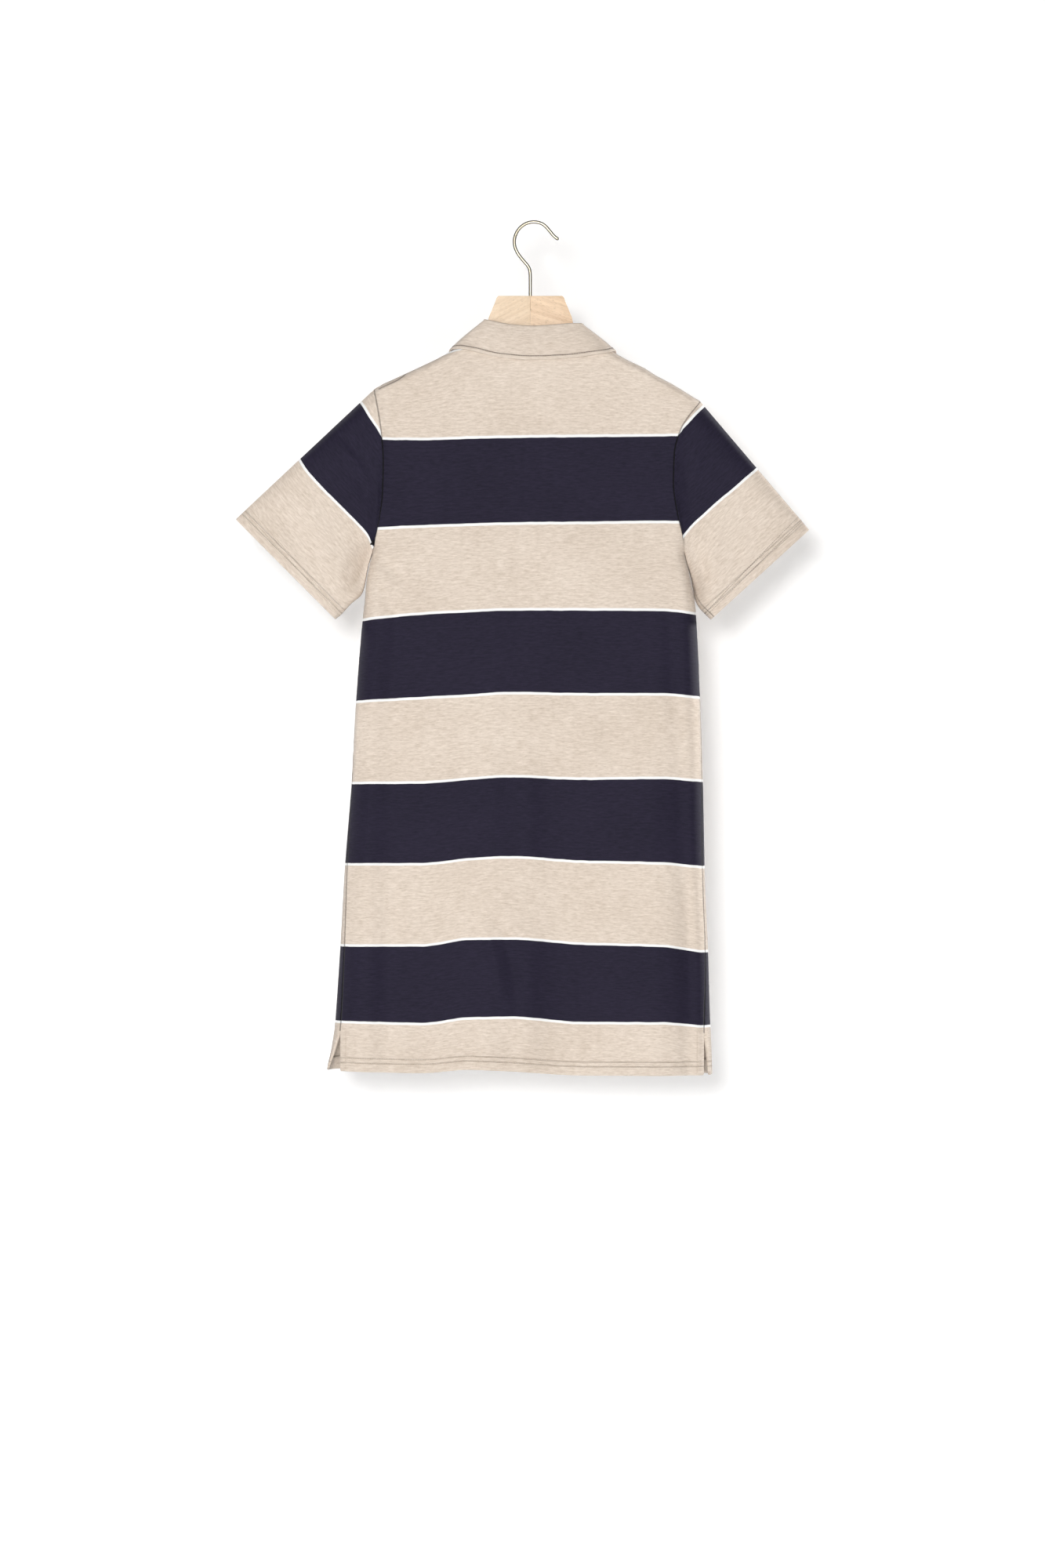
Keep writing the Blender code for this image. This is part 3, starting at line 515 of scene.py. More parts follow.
def panel_surface(face, levels, rises, shares, inner):
    """The outer face of a panel as a grid of points, from the hem up and from left to right."""

    def row(level, rise):
        left_x, left_share = outer_line(face, level, rise, "left", shares)
        right_x, right_share = outer_line(face, level, rise, "right", shares)
        middle = centre_x(level if rise == 0 else level_at(rise))
        xs = np.concatenate([left_x, middle - inner, [middle], middle + inner[::-1], right_x[::-1]])
        flat = np.ones(2 * len(inner) + 1)
        return xs, np.concatenate([left_share, flat, right_share[::-1]])

    low_x, top_x = row(UNDERARM, 0.0)[0], row(UNDERARM, 1.0)[0]
    low = course_below(UNDERARM, low_x)
    top = np.where(np.abs(top_x - NECK_X) < NECK_HALF, neckline_below(face, top_x), ridge_below(top_x))
    xs, side_shares, belows = [], [], []
    for level, rise in zip(levels, rises):
        x, share = row(level, rise)
        xs.append(x)
        side_shares.append(share)
        belows.append(low + (top - low) * rise if rise > 0 else course_below(level, x))
    x, share, below = np.array(xs), np.array(side_shares), np.array(belows)
    own = cloth_y(face, x, below, np.abs(share))
    far = cloth_y(-face, x, below, np.abs(share))
    return np.stack([x, np.where(share >= 0, own, far), -below], axis=-1)


def unit(vectors):
    return vectors / np.maximum(np.linalg.norm(vectors, axis=-1, keepdims=True), 1e-9)


def facing(points, outer):
    """Unit normals on the outer side of a grid of points."""
    return unit(outer * np.cross(np.gradient(points, axis=1), np.gradient(points, axis=0)))


def turned_edge(edge, outward, inward, angle, width):
    """Lines of points round a turned edge and on into the dress. angle may change along the edge."""
    angle = np.broadcast_to(angle, len(edge))[:, None]
    lines = []
    for part in (0.25, 0.5, 0.75, 1.0):
        bent = angle * part
        lines.append(edge + TURN * (outward * np.sin(bent) + inward * (1 - np.cos(bent))))
    onward = outward * np.cos(angle) + inward * np.sin(angle)
    return lines + [lines[3] + onward * width * part for part in (0.35, 0.7, 1.0)]


def folded_hem(points, normals, depth):
    """Rows of a hem below row 0: round its fold and up behind the first rows."""
    edge, outward = points[0], unit(points[0] - points[1])
    lines = []
    for part in (0.2, 0.4, 0.6, 0.8, 1.0):
        bent = math.pi * part
        lines.append(edge + TURN * (outward * math.sin(bent) - normals[0] * (1 - math.cos(bent))))
    height = np.linalg.norm(np.diff(points, axis=0), axis=-1).mean(axis=1).cumsum()
    for k in range(1, int(np.searchsorted(height, depth)) + 1):
        lines.append(points[k] - 2 * TURN * normals[k])
    return lines


def puckers(count, seed):
    """A height between -1 and 1 for each step along a seam, uneven as a seam's small gathers are."""
    values = np.random.default_rng(seed).uniform(-1, 1, count)
    return (values + 0.5 * np.roll(values, 1)) / 1.5


def lengths(points, axis):
    """Distance walked along one axis of a grid, from its start."""
    steps = np.linalg.norm(np.diff(points, axis=axis), axis=-1)
    walked = np.cumsum(steps, axis=axis)
    pad = [(0, 0), (0, 0)]
    pad[axis] = (1, 0)
    return np.pad(walked, pad)


# ---------------------------------------------------------------- making pieces


def only(piece):
    """Selects one object alone."""
    for other in bpy.context.view_layer.objects:
        other.select_set(False)
    piece.select_set(True)
    bpy.context.view_layer.objects.active = piece


def apply_modifiers(piece):
    only(piece)
    for modifier in list(piece.modifiers):
        bpy.ops.object.modifier_apply(modifier=modifier.name)


def linked(name, data):
    """A new object in the scene."""
    new = bpy.data.objects.new(name, data)
    bpy.context.scene.collection.objects.link(new)
    return new


def new_piece(name, mesh, surface):
    mesh.materials.append(surface)
    mesh.shade_smooth()
    return linked(name, mesh)


def resurface(piece, surface):
    """Gives a piece one material in place of those it has."""
    piece.data.materials.clear()
    piece.data.materials.append(surface)


def drill_hole(piece, name, vertices, radius, depth, location):
    """Cuts an upright round hole. The sizes are in mm."""
    location = [value * MM for value in location]
    size = {"vertices": vertices, "radius": radius * MM, "depth": depth * MM}
    bpy.ops.mesh.primitive_cylinder_add(**size, location=location)
    drill = bpy.context.active_object
    hole = piece.modifiers.new(name, "BOOLEAN")
    hole.operation, hole.object, hole.solver = "DIFFERENCE", drill, "EXACT"
    apply_modifiers(piece)
    bpy.data.objects.remove(drill)


def round_edges(piece, name, width, segments, angle):
    rounded = piece.modifiers.new(name, "BEVEL")
    rounded.width, rounded.segments = width * MM, segments
    rounded.limit_method, rounded.angle_limit = "ANGLE", math.radians(angle)
    apply_modifiers(piece)


def settle(piece, node=None):
    """Hides the node a piece stands in for, if any, and attaches the piece to the one body."""
    if node:
        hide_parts(node)
    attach(piece, "root")


def cloth_piece(name, grid, outer, wall, left_out=None, joined=False):
    """A wall of cloth through a grid: its points in mm, their places on the unrolled cloth, and its marks."""
    points, flat = grid["points"], grid["flat"]
    rows, columns = points.shape[:2]
    kept = columns - 1 if joined else columns
    index = np.arange(rows * kept).reshape(rows, kept)
    if joined:
        index = np.concatenate([index, index[:, :1]], axis=1)
    corners = np.stack([index[:-1, :-1], index[:-1, 1:], index[1:, 1:], index[1:, :-1]], axis=-1)
    places = np.stack([flat[:-1, :-1], flat[:-1, 1:], flat[1:, 1:], flat[1:, :-1]], axis=-2)
    if outer < 0:
        corners, places = corners[..., ::-1], places[..., ::-1, :]
    stay = np.ones(corners.shape[:2], bool) if left_out is None else ~left_out
    corners, places = corners[stay], places[stay]
    used = np.unique(corners)
    renamed = np.zeros(rows * kept, int)
    renamed[used] = np.arange(len(used))
    mesh = bpy.data.meshes.new(name)
    mesh.from_pydata((points[:, :kept].reshape(-1, 3)[used] * MM).tolist(), [], renamed[corners].tolist())
    mesh.uv_layers.new(name="cloth").data.foreach_set("uv", places.reshape(-1))
    for label in MARKS:
        mark = mesh.attributes.new(label, "FLOAT", "POINT")
        mark.data.foreach_set("value", grid[label][:, :kept].reshape(-1)[used].astype(np.float32))
    piece = new_piece(name, mesh, jersey)
    shell = piece.modifiers.new("cloth wall", "SOLIDIFY")
    shell.thickness = wall * MM
    shell.offset = 0.0
    shell.use_even_offset = False
    apply_modifiers(piece)
    return piece


def at_place(grid, row, across):
    """A grid's values at places between its rows and columns."""
    row = np.clip(row, 0, grid.shape[0] - 1.001)
    across = np.clip(across, 0, grid.shape[1] - 1.001)
    i, j = row.astype(int), across.astype(int)
    s, t = (row - i)[:, None], (across - j)[:, None]
    low = grid[i, j] * (1 - t) + grid[i, j + 1] * t
    high = grid[i + 1, j] * (1 - t) + grid[i + 1, j + 1] * t
    return low * (1 - s) + high * s


def one_stitch():
    """One stitch 1 mm long and 1 mm thick, lying along X with its ends dipping down: rows of six points."""
    sections = ((-0.5, -0.55, 0.55), (-0.3, 0.1, 0.95), (0.0, 0.3, 1.0), (0.3, 0.1, 0.95), (0.5, -0.55, 0.55))
    turns = np.arange(6) * math.pi / 3
    return [[(x, 0.5 * r * math.cos(a), z + 0.5 * r * math.sin(a)) for a in turns] for x, z, r in sections]


def walk(path, walked, distance):
    """A path's values at a distance along it."""
    return np.array([np.interp(distance, walked, path[:, i]) for i in range(3)])


def stitching(name, runs, surface, length=2.3, pitch=3.0, thickness=0.42, sunk=0.1):
    """Rows of stitches. Each run is a path of points on the cloth's outer face with their normals, in mm."""
    shape = np.array(one_stitch())
    sections, around = shape.shape[:2]
    local = shape.reshape(-1, 3)
    faces = []
    for i in range(sections - 1):
        for j in range(around):
            k = (j + 1) % around
            faces.append((i * around + j, (i + 1) * around + j, (i + 1) * around + k, i * around + k))
    caps = [tuple(range(around)), tuple(reversed(range((sections - 1) * around, sections * around)))]
    points, quads, ends = [], [], []
    count = 0
    for path, normals in runs:
        walked = np.concatenate([[0.0], np.cumsum(np.linalg.norm(np.diff(path, axis=0), axis=1))])
        for middle in np.arange(pitch / 2, walked[-1] - pitch / 2, pitch):
            before, seat, after = (walk(path, walked, middle + step) for step in (-0.5, 0.0, 0.5))
            along = unit(after - before)
            side = unit(np.cross(unit(walk(normals, walked, middle)), along))
            out = np.cross(along, side)
            seat = seat + out * sunk
            bulge = thickness * (local[:, 1:2] * side + local[:, 2:] * out)
            placed = seat + local[:, :1] * length * along + bulge
            points.append(placed)
            quads += [tuple(v + count for v in face) for face in faces]
            ends += [tuple(v + count for v in face) for face in caps]
            count += len(placed)
    mesh = bpy.data.meshes.new(name)
    mesh.from_pydata((np.concatenate(points) * MM).tolist(), [], quads + ends)
    piece = new_piece(name, mesh, surface)
    check = bmesh.new()
    check.from_mesh(mesh)
    bmesh.ops.recalc_face_normals(check, faces=check.faces)
    check.to_mesh(mesh)
    check.free()
    return piece


# ---------------------------------------------------------------- node groups and materials


def put(tree, kind, x, y, **settings):
    new = tree.nodes.new(kind)
    new.location = (x, y)
    for key, value in settings.items():
        setattr(new, key, value)
    return new


def feed(tree, target, source):
    """Joins a socket to another, or sets its value."""
    if isinstance(source, bpy.types.NodeSocket):
        tree.links.new(source, target)
    elif source is not None:
        target.default_value = source


def feed_all(tree, node, sources):
    for name, source in sources.items():
        feed(tree, node.inputs[name], source)


def maths(tree, operation, first, second=None):
    new = tree.nodes.new("ShaderNodeMath")
    new.operation = operation
    for socket, source in zip(new.inputs, (first, second)):
        feed(tree, socket, source)
    return new.outputs[0]


def times(tree, first, second):
    return maths(tree, "MULTIPLY", first, second)


def plus(tree, first, second):
    return maths(tree, "ADD", first, second)


def minus(tree, first, second):
    return maths(tree, "SUBTRACT", first, second)


def split_up(tree, vector):
    """The X, Y and Z of a vector."""
    new = tree.nodes.new("ShaderNodeSeparateXYZ")
    feed(tree, new.inputs[0], vector)
    return new.outputs


def spread(tree, value, low, high, to_low=0.0, to_high=1.0, soft=False):
    new = tree.nodes.new("ShaderNodeMapRange")
    new.interpolation_type = "SMOOTHSTEP" if soft else "LINEAR"
    for socket, source in zip(new.inputs, (value, low, high, to_low, to_high)):
        feed(tree, socket, source)
    return new.outputs[0]


def stretched(tree, vector, scale, turned=(0.0, 0.0, 0.0)):
    new = tree.nodes.new("ShaderNodeMapping")
    feed_all(tree, new, {"Vector": vector, "Scale": scale, "Rotation": turned})
    return new.outputs[0]


def noise(tree, vector, detail=2.0, roughness=0.5, scale=1.0):
    new = tree.nodes.new("ShaderNodeTexNoise")
    feed_all(tree, new, {"Vector": vector, "Scale": scale, "Detail": detail, "Roughness": roughness})
    return new.outputs["Fac"]


def blended(tree, factor, first, second, mode="MIX"):
    new = tree.nodes.new("ShaderNodeMix")
    new.data_type = "RGBA"
    new.blend_type = mode
    feed_all(tree, new, {"Factor": factor, "A": first, "B": second})
    return new.outputs["Result"]


def new_group(name, inputs, outputs):
    """A node group. inputs has the usual value of each number, and None for a place on the cloth or wood."""
    group = bpy.data.node_groups.new(name, "ShaderNodeTree")
    for label, value in inputs.items():
        kind = "NodeSocketVector" if value is None else "NodeSocketFloat"
        socket = group.interface.new_socket(name=label, in_out="INPUT", socket_type=kind)
        if value is not None:
            socket.default_value = value
    for label in outputs:
        group.interface.new_socket(name=label, in_out="OUTPUT", socket_type="NodeSocketFloat")
    return group, put(group, "NodeGroupInput", -900, 0).outputs, put(group, "NodeGroupOutput", 600, 0).inputs


def placed_group(tree, group, **values):
    new = tree.nodes.new("ShaderNodeGroup")
    new.node_tree = group
    for label, source in values.items():
        feed(tree, new.inputs[label.replace("_", " ").title()], source)
    return new.outputs


TOOTH, WALE, LOOP, STITCH = 0.0021, 0.0012, 0.0009, 0.003  # lengths in the knit and its seams, in m
WHITE_LINE_HALF = 1.75  # mm


def waves(tree, value, length):
    """Rises from 0 to a half and falls back, once in each length."""
    return maths(tree, "PINGPONG", times(tree, value, 1 / length), 0.5)


def make_streaks():
    """Slubs of a heather yarn: fine level streaks, lighter and browner."""
    group, given, out = new_group("heather streaks", {"Cloth": None}, ("Tone", "Fleck"))
    fine = noise(group, stretched(group, given["Cloth"], (150.0, 720.0, 1.0)), detail=3.0, roughness=0.65)
    long = noise(group, stretched(group, given["Cloth"], (70.0, 400.0, 1.0)), detail=1.0)
    broad = noise(group, stretched(group, given["Cloth"], (9.0, 14.0, 1.0)))
    tone = plus(group, times(group, fine, 0.5), times(group, long, 0.32))
    tone = plus(group, tone, times(group, broad, 0.18))
    feed(group, out["Tone"], spread(group, tone, 0.36, 0.64))
    speck = noise(group, stretched(group, given["Cloth"], (150.0, 1050.0, 1.0)), detail=1.0)
    feed(group, out["Fleck"], spread(group, speck, 0.62, 0.72))
    return group


def make_bands():
    """Wide bands with a white line between them. The line's navy side is toothed by the knit."""
    group, given, out = new_group("wide bands", {"Band": 0.5, "Cloth": None}, ("Navy", "White"))
    tooth = waves(group, split_up(group, given["Cloth"])["X"], TOOTH)
    wander = noise(group, stretched(group, given["Cloth"], (60.0, 1.0, 1.0)))
    wobble = times(group, minus(group, wander, 0.5), 0.012)
    band = plus(group, given["Band"], wobble)
    line = maths(group, "ROUND", band)
    away = times(group, minus(group, band, line), BAND_HEIGHT)  # mm, plus is below the line
    odd = maths(group, "MODULO", plus(group, line, 10.0), 2.0)
    navy_side = times(group, away, minus(group, times(group, odd, 2.0), 1.0))
    toothed = minus(group, WHITE_LINE_HALF, times(group, tooth, 1.1))
    into_navy = minus(group, navy_side, toothed)
    feed(group, out["Navy"], spread(group, into_navy, -0.12, 0.12, soft=True))
    white = spread(group, plus(group, navy_side, WHITE_LINE_HALF), -0.35, 0.35, soft=True)
    feed(group, out["White"], times(group, white, spread(group, into_navy, -0.12, 0.12, 1.0, 0.0, soft=True)))
    return group


def make_knit():
    """Columns of tiny loops, 1.2 mm apart, as a height."""
    group, given, out = new_group("jersey loops", {"Cloth": None}, ("Height",))
    parts = split_up(group, given["Cloth"])
    wale = waves(group, parts["X"], WALE)
    course = plus(group, times(group, parts["Y"], 1 / LOOP), times(group, wale, 0.9))
    loop = maths(group, "PINGPONG", course, 0.5)
    height = times(group, maths(group, "POWER", times(group, wale, 2.0), 0.5), loop)
    fuzz = noise(group, stretched(group, given["Cloth"], (700.0, 1500.0, 1.0)))
    feed(group, out["Height"], plus(group, height, times(group, fuzz, 0.6)))
    return group


def make_gathers():
    """Small ridges that a seam draws across itself: upright beside a level seam, and the other way."""
    inputs = {"Cloth": None, "Level Seam": 0.0, "Upright Seam": 0.0}
    group, given, out = new_group("seam gathers", inputs, ("Height",))
    upright_ridges = noise(group, stretched(group, given["Cloth"], (230.0, 40.0, 1.0)), detail=1.5)
    level_ridges = noise(group, stretched(group, given["Cloth"], (45.0, 170.0, 1.0)), detail=1.5)
    first = times(group, upright_ridges, given["Level Seam"])
    second = times(group, level_ridges, given["Upright Seam"])
    feed(group, out["Height"], plus(group, first, second))
    return group


def make_seam_shade_and_grooves():
    """Where seams and rows of stitches pull the cloth in: painted shadow along the seams, painted shade along
    the rows, dotted like the stitches, and a narrow groove as a height.
    """
    inputs = {"Cloth": None, "Seam Away": 99.0, "Row Away": 99.0, "Row Gap": 0.0}
    group, given, out = new_group("seam shade and grooves", inputs, ("Seam", "Row", "Height"))
    seam = spread(group, given["Seam Away"], 0.3, 1.2, 1.0, 0.0, soft=True)
    away = minus(group, maths(group, "ABSOLUTE", given["Row Away"]), given["Row Gap"])
    row = spread(group, maths(group, "ABSOLUTE", away), 0.2, 1.0, 1.0, 0.0, soft=True)
    alone = maths(group, "LESS_THAN", given["Row Gap"], 0.1)
    parts = split_up(group, given["Cloth"])
    stitch = waves(group, plus(group, parts["X"], parts["Y"]), STITCH)
    feed(group, out["Seam"], seam)
    dotted = times(group, row, spread(group, stitch, 0.1, 0.3, 1.0, 0.45))
    feed(group, out["Row"], times(group, dotted, spread(group, alone, 0.0, 1.0, 0.2, 0.5)))
    feed(group, out["Height"], minus(group, 1.0, maths(group, "MAXIMUM", seam, row)))
    return group


def surface(name):
    new = bpy.data.materials.new(name)
    new.use_nodes = True
    return new, new.node_tree, new.node_tree.nodes["Principled BSDF"]


def marked(tree, *names):
    """The marks that the cloth carries, by name."""
    nodes = [put(tree, "ShaderNodeAttribute", -1400, 0, attribute_name=name) for name in names]
    return {name: node.outputs["Fac"] for name, node in zip(names, nodes)}


def own_place(tree):
    return put(tree, "ShaderNodeTexCoord", -900, 0).outputs["Object"]


def turned_away(tree, low, high, most=1.0):
    """How far a surface is turned from the eye; used to paint shade towards outlines."""
    return spread(tree, put(tree, "ShaderNodeLayerWeight", -900, 300).outputs["Facing"], low, high, 0.0, most)


def bump(tree, height, distance, strength=1.0, normal=None):
    new = tree.nodes.new("ShaderNodeBump")
    feed_all(tree, new, {"Strength": strength, "Distance": distance, "Height": height, "Normal": normal})
    return new.outputs["Normal"]


def make_jersey():
    new, tree, shader = surface("banded heather jersey")
    cloth = put(tree, "ShaderNodeUVMap", -1600, 200, uv_map="cloth").outputs["UV"]
    heather = placed_group(tree, streaks, cloth=cloth)
    bands = placed_group(tree, wide_bands, cloth=cloth, **marked(tree, "band"))
    gathers = placed_group(tree, seam_gathers, cloth=cloth, **marked(tree, "level_seam", "upright_seam"))
    beige = blended(tree, heather["Tone"], (0.565, 0.47, 0.385, 1), (0.765, 0.67, 0.58, 1))
    beige = blended(tree, times(tree, heather["Fleck"], 0.4), beige, (0.42, 0.33, 0.25, 1))
    # Painted shade: the beige greys towards the outlines, where the cloth turns from the eye.
    beige = blended(tree, turned_away(tree, 0.5, 1.0, 0.55), beige, (0.34, 0.32, 0.31, 1))
    navy = blended(tree, heather["Tone"], (0.0085, 0.0066, 0.0185, 1), (0.0175, 0.0135, 0.0325, 1))
    colour = blended(tree, bands["White"], beige, (0.86, 0.86, 0.85, 1))
    colour = blended(tree, bands["Navy"], colour, navy)
    sewn = placed_group(tree, seam_shade_and_grooves, cloth=cloth, **marked(tree, "seam_away", "row_away", "row_gap"))
    # Painted shadow in the seam grooves, deeper on the navy, and painted shade along the rows of stitches
    # darken the base colour.
    shade = times(tree, sewn["Seam"], spread(tree, bands["Navy"], 0.0, 1.0, 0.55, 0.95))
    shade = maths(tree, "MINIMUM", plus(tree, shade, sewn["Row"]), 0.95)
    normal = bump(tree, placed_group(tree, jersey_loops, cloth=cloth)["Height"], 0.00018, 0.5)
    normal = bump(tree, heather["Tone"], 0.00016, 0.6, normal)
    normal = bump(tree, gathers["Height"], 0.0024, 1.0, normal)
    inputs = {
        "Base Color": blended(tree, shade, colour, (0.05, 0.04, 0.045, 1), "MULTIPLY"),
        "Roughness": spread(tree, bands["Navy"], 0.0, 1.0, 0.88, 0.72),
        "Specular IOR Level": 0.2,
        "Sheen Weight": 0.08,
        "Sheen Roughness": 0.4,
        "Normal": bump(tree, sewn["Height"], 0.0006, 1.0, normal),
    }
    feed_all(tree, shader, inputs)
    return new


def make_thread(name, dark, light):
    new, tree, shader = surface(name)
    place = own_place(tree)
    inputs = {
        "Base Color": blended(tree, noise(tree, place, 2.0, 0.6, 900.0), dark, light),
        "Roughness": 0.7,
        "Sheen Weight": 0.1,
        "Normal": bump(tree, noise(tree, place, 2.0, 0.5, 2600.0), 0.00008),
    }
    feed_all(tree, shader, inputs)
    return new


def make_grain():
    """Growth rings and short pores of a pale plain-sawn board. The grain runs along X."""
    group, given, out = new_group("beech grain", {"Wood": None}, ("Ring", "Pore"))
    broad = noise(group, stretched(group, given["Wood"], (7.0, 80.0, 60.0)), detail=3.0, roughness=0.6)
    fine = noise(group, stretched(group, given["Wood"], (14.0, 330.0, 200.0)))
    feed(group, out["Ring"], plus(group, times(group, broad, 0.6), times(group, fine, 0.4)))
    fleck = noise(group, stretched(group, given["Wood"], (220.0, 1700.0, 1700.0)), detail=1.0)
    feed(group, out["Pore"], spread(group, fleck, 0.6, 0.7))
    return group


def darkened(colour, share):
    return [share * value for value in colour[:3]] + [1]


def make_beech(name, dark, light, lean):
    """One half of the hanger. lean turns the grain, in degrees."""
    new, tree, shader = surface(name)
    board = split_up(tree, stretched(tree, own_place(tree), (1.0, 1.0, 1.0), (0.0, math.radians(lean), 0.0)))
    turned = tree.nodes.new("ShaderNodeCombineXYZ")
    feed_all(tree, turned, {"X": board["X"], "Y": board["Z"], "Z": board["Y"]})
    wood = placed_group(tree, beech_grain, wood=turned.outputs[0])
    colour = blended(tree, spread(tree, wood["Ring"], 0.36, 0.64), light, dark)
    inputs = {
        "Base Color": blended(tree, times(tree, wood["Pore"], 0.45), colour, darkened(dark, 0.55)),
        "Roughness": spread(tree, wood["Ring"], 0.0, 1.0, 0.38, 0.5),
        "Coat Weight": 0.12,
        "Coat Roughness": 0.3,
        "Normal": bump(tree, wood["Pore"], 0.00015, 0.5),
    }
    feed_all(tree, shader, inputs)
    return new


def make_wire():
    new, tree, shader = surface("pale gold wire")
    place = own_place(tree)
    haze = noise(tree, place, 3.0, 0.6, 140.0)
    colour = blended(tree, haze, (0.54, 0.47, 0.34, 1), (0.64, 0.58, 0.46, 1))
    # Painted shade: the colour goes nearly black where the wire turns from the eye, a painted reflection of
    # dark surroundings at its edges.
    inputs = {
        "Base Color": blended(tree, turned_away(tree, 0.12, 0.42), colour, (0.03, 0.024, 0.016, 1)),
        "Metallic": 1.0,
        "Specular Tint": (0.3, 0.26, 0.2, 1),
        "Roughness": spread(tree, haze, 0.3, 0.7, 0.3, 0.36),
        "Normal": bump(tree, noise(tree, place, 2.0, 0.5, 2500.0), 0.00003, 0.5),
    }
    feed_all(tree, shader, inputs)
    return new


def make_shell():
    new, tree, shader = surface("button shell")
    cloud = noise(tree, stretched(tree, own_place(tree), (240.0, 240.0, 90.0)), 3.0, 0.6)
    inputs = {
        "Base Color": blended(tree, cloud, (0.50, 0.40, 0.30, 1), (0.74, 0.65, 0.54, 1)),
        "Roughness": 0.3,
        "Coat Weight": 0.4,
        "Coat Roughness": 0.15,
        "Normal": bump(tree, cloud, 0.00005),
    }
    feed_all(tree, shader, inputs)
    return new


streaks = make_streaks()
wide_bands = make_bands()
jersey_loops = make_knit()
seam_gathers = make_gathers()
seam_shade_and_grooves = make_seam_shade_and_grooves()
beech_grain = make_grain()
jersey = make_jersey()
sand_thread = make_thread("sand thread", (0.4, 0.31, 0.23, 1), (0.56, 0.46, 0.36, 1))
brown_thread = make_thread("brown thread", (0.1, 0.07, 0.055, 1), (0.2, 0.15, 0.12, 1))
beech_left = make_beech("beech, left half", (0.71, 0.53, 0.355, 1), (0.855, 0.685, 0.5, 1), 27.0)
beech_right = make_beech("beech, right half", (0.66, 0.455, 0.29, 1), (0.86, 0.65, 0.445, 1), -18.0)
gold_wire = make_wire()
shell_surface = make_shell()


# ---------------------------------------------------------------- panels, their seams and hems


def back_along(points, normals, distances, from_end):
    """For each row, points under the cloth at distances from its edge: the inner layer of a folded edge."""
    if from_end:
        points, normals = points[:, ::-1], normals[:, ::-1]
    walked = lengths(points, 1)
    lines = []
    for distance in distances:
        inner = points[:, :12] - 2 * TURN * normals[:, :12]
        lines.append(np.array([walk(row, far, distance) for row, far in zip(inner, walked[:, :12])]))
    return lines


def with_edges(fields, foot, top, left, right):
    """Fields of a grid with lines of points added beyond its edges, and the corner cells to leave out."""
    rows, columns = fields["points"].shape[:2]
    a, b, c, d = len(foot), len(top), len(left), len(right)
    grown = {}
    for key, grid in fields.items():
        grown[key] = np.pad(grid, [(a, b), (c, d)] + [(0, 0)] * (grid.ndim - 2), mode="edge")
    points, flat = grown["points"], grown["flat"]
    for k, line in enumerate(foot):
        points[a - 1 - k, c : c + columns] = line
        step = np.linalg.norm(points[a - 1 - k] - points[a - k], axis=-1) * MM
        flat[a - 1 - k, :, 1] = flat[a - k, :, 1] - step
    for k, line in enumerate(top):
        points[a + rows + k, c : c + columns] = line
        step = np.linalg.norm(points[a + rows + k] - points[a + rows + k - 1], axis=-1) * MM
        flat[a + rows + k, :, 1] = flat[a + rows + k - 1, :, 1] + step
    for k, line in enumerate(left):
        points[a : a + rows, c - 1 - k] = line
        step = np.linalg.norm(points[:, c - 1 - k] - points[:, c - k], axis=-1) * MM
        flat[:, c - 1 - k, 0] = flat[:, c - k, 0] - step
    for k, line in enumerate(right):
        points[a : a + rows, c + columns + k] = line
        step = np.linalg.norm(points[:, c + columns + k] - points[:, c + columns + k - 1], axis=-1) * MM
        flat[:, c + columns + k, 0] = flat[:, c + columns + k - 1, 0] + step
    cell_row = np.arange(rows + a + b - 1)[:, None]
    cell_column = np.arange(columns + c + d - 1)[None, :]
    beyond_row = (cell_row < a) | (cell_row >= a + rows - 1)
    beyond_column = (cell_column < c) | (cell_column >= c + columns - 1)
    return grown, beyond_row & beyond_column


MARKS = ("band", "upright_seam", "level_seam", "seam_away", "row_away", "row_gap")
PANEL_LEVELS = np.concatenate([np.linspace(HEM, SLIT_TOP, 17), np.linspace(SLIT_TOP, UNDERARM, 171)[1:]])
CLOSER_ROWS = 0.94 + 0.06 * np.sin(np.linspace(0, np.pi / 2, 15)[1:])
PANEL_RISES = np.concatenate([np.linspace(0, 0.94, 66)[1:], CLOSER_ROWS])
OUTER_SHARES = np.linspace(0, 1, 46) ** 1.3
PLACKET_DISTANCES = np.linspace(PLACKET_HALF, 0, 6)[1:-1]
INNER_DISTANCES = np.concatenate([np.linspace(NECK_HALF, PLACKET_HALF, 20)[1:], PLACKET_DISTANCES])


def rows_between(rows, edge_distance):
    """Marks for the shader: the distance from the middle of two rows of stitches, and half their gap."""
    near, far = rows
    middle = (near + far) / 2
    return {"row_away": edge_distance - middle, "row_gap": np.full(edge_distance.shape, (far - near) / 2)}


def on_flat_cloth(across, band):
    """Places on the unrolled cloth in m, from mm across it and the bands down it."""
    return np.stack([across * MM, -BAND_HEIGHT * MM * band], axis=-1)


def eased(edge, lines, share):
    """Turned lines drawn in towards their edge where the share is under 1."""
    return [edge + (line - edge) * np.clip(share, 0.1, 1)[:, None] for line in lines]


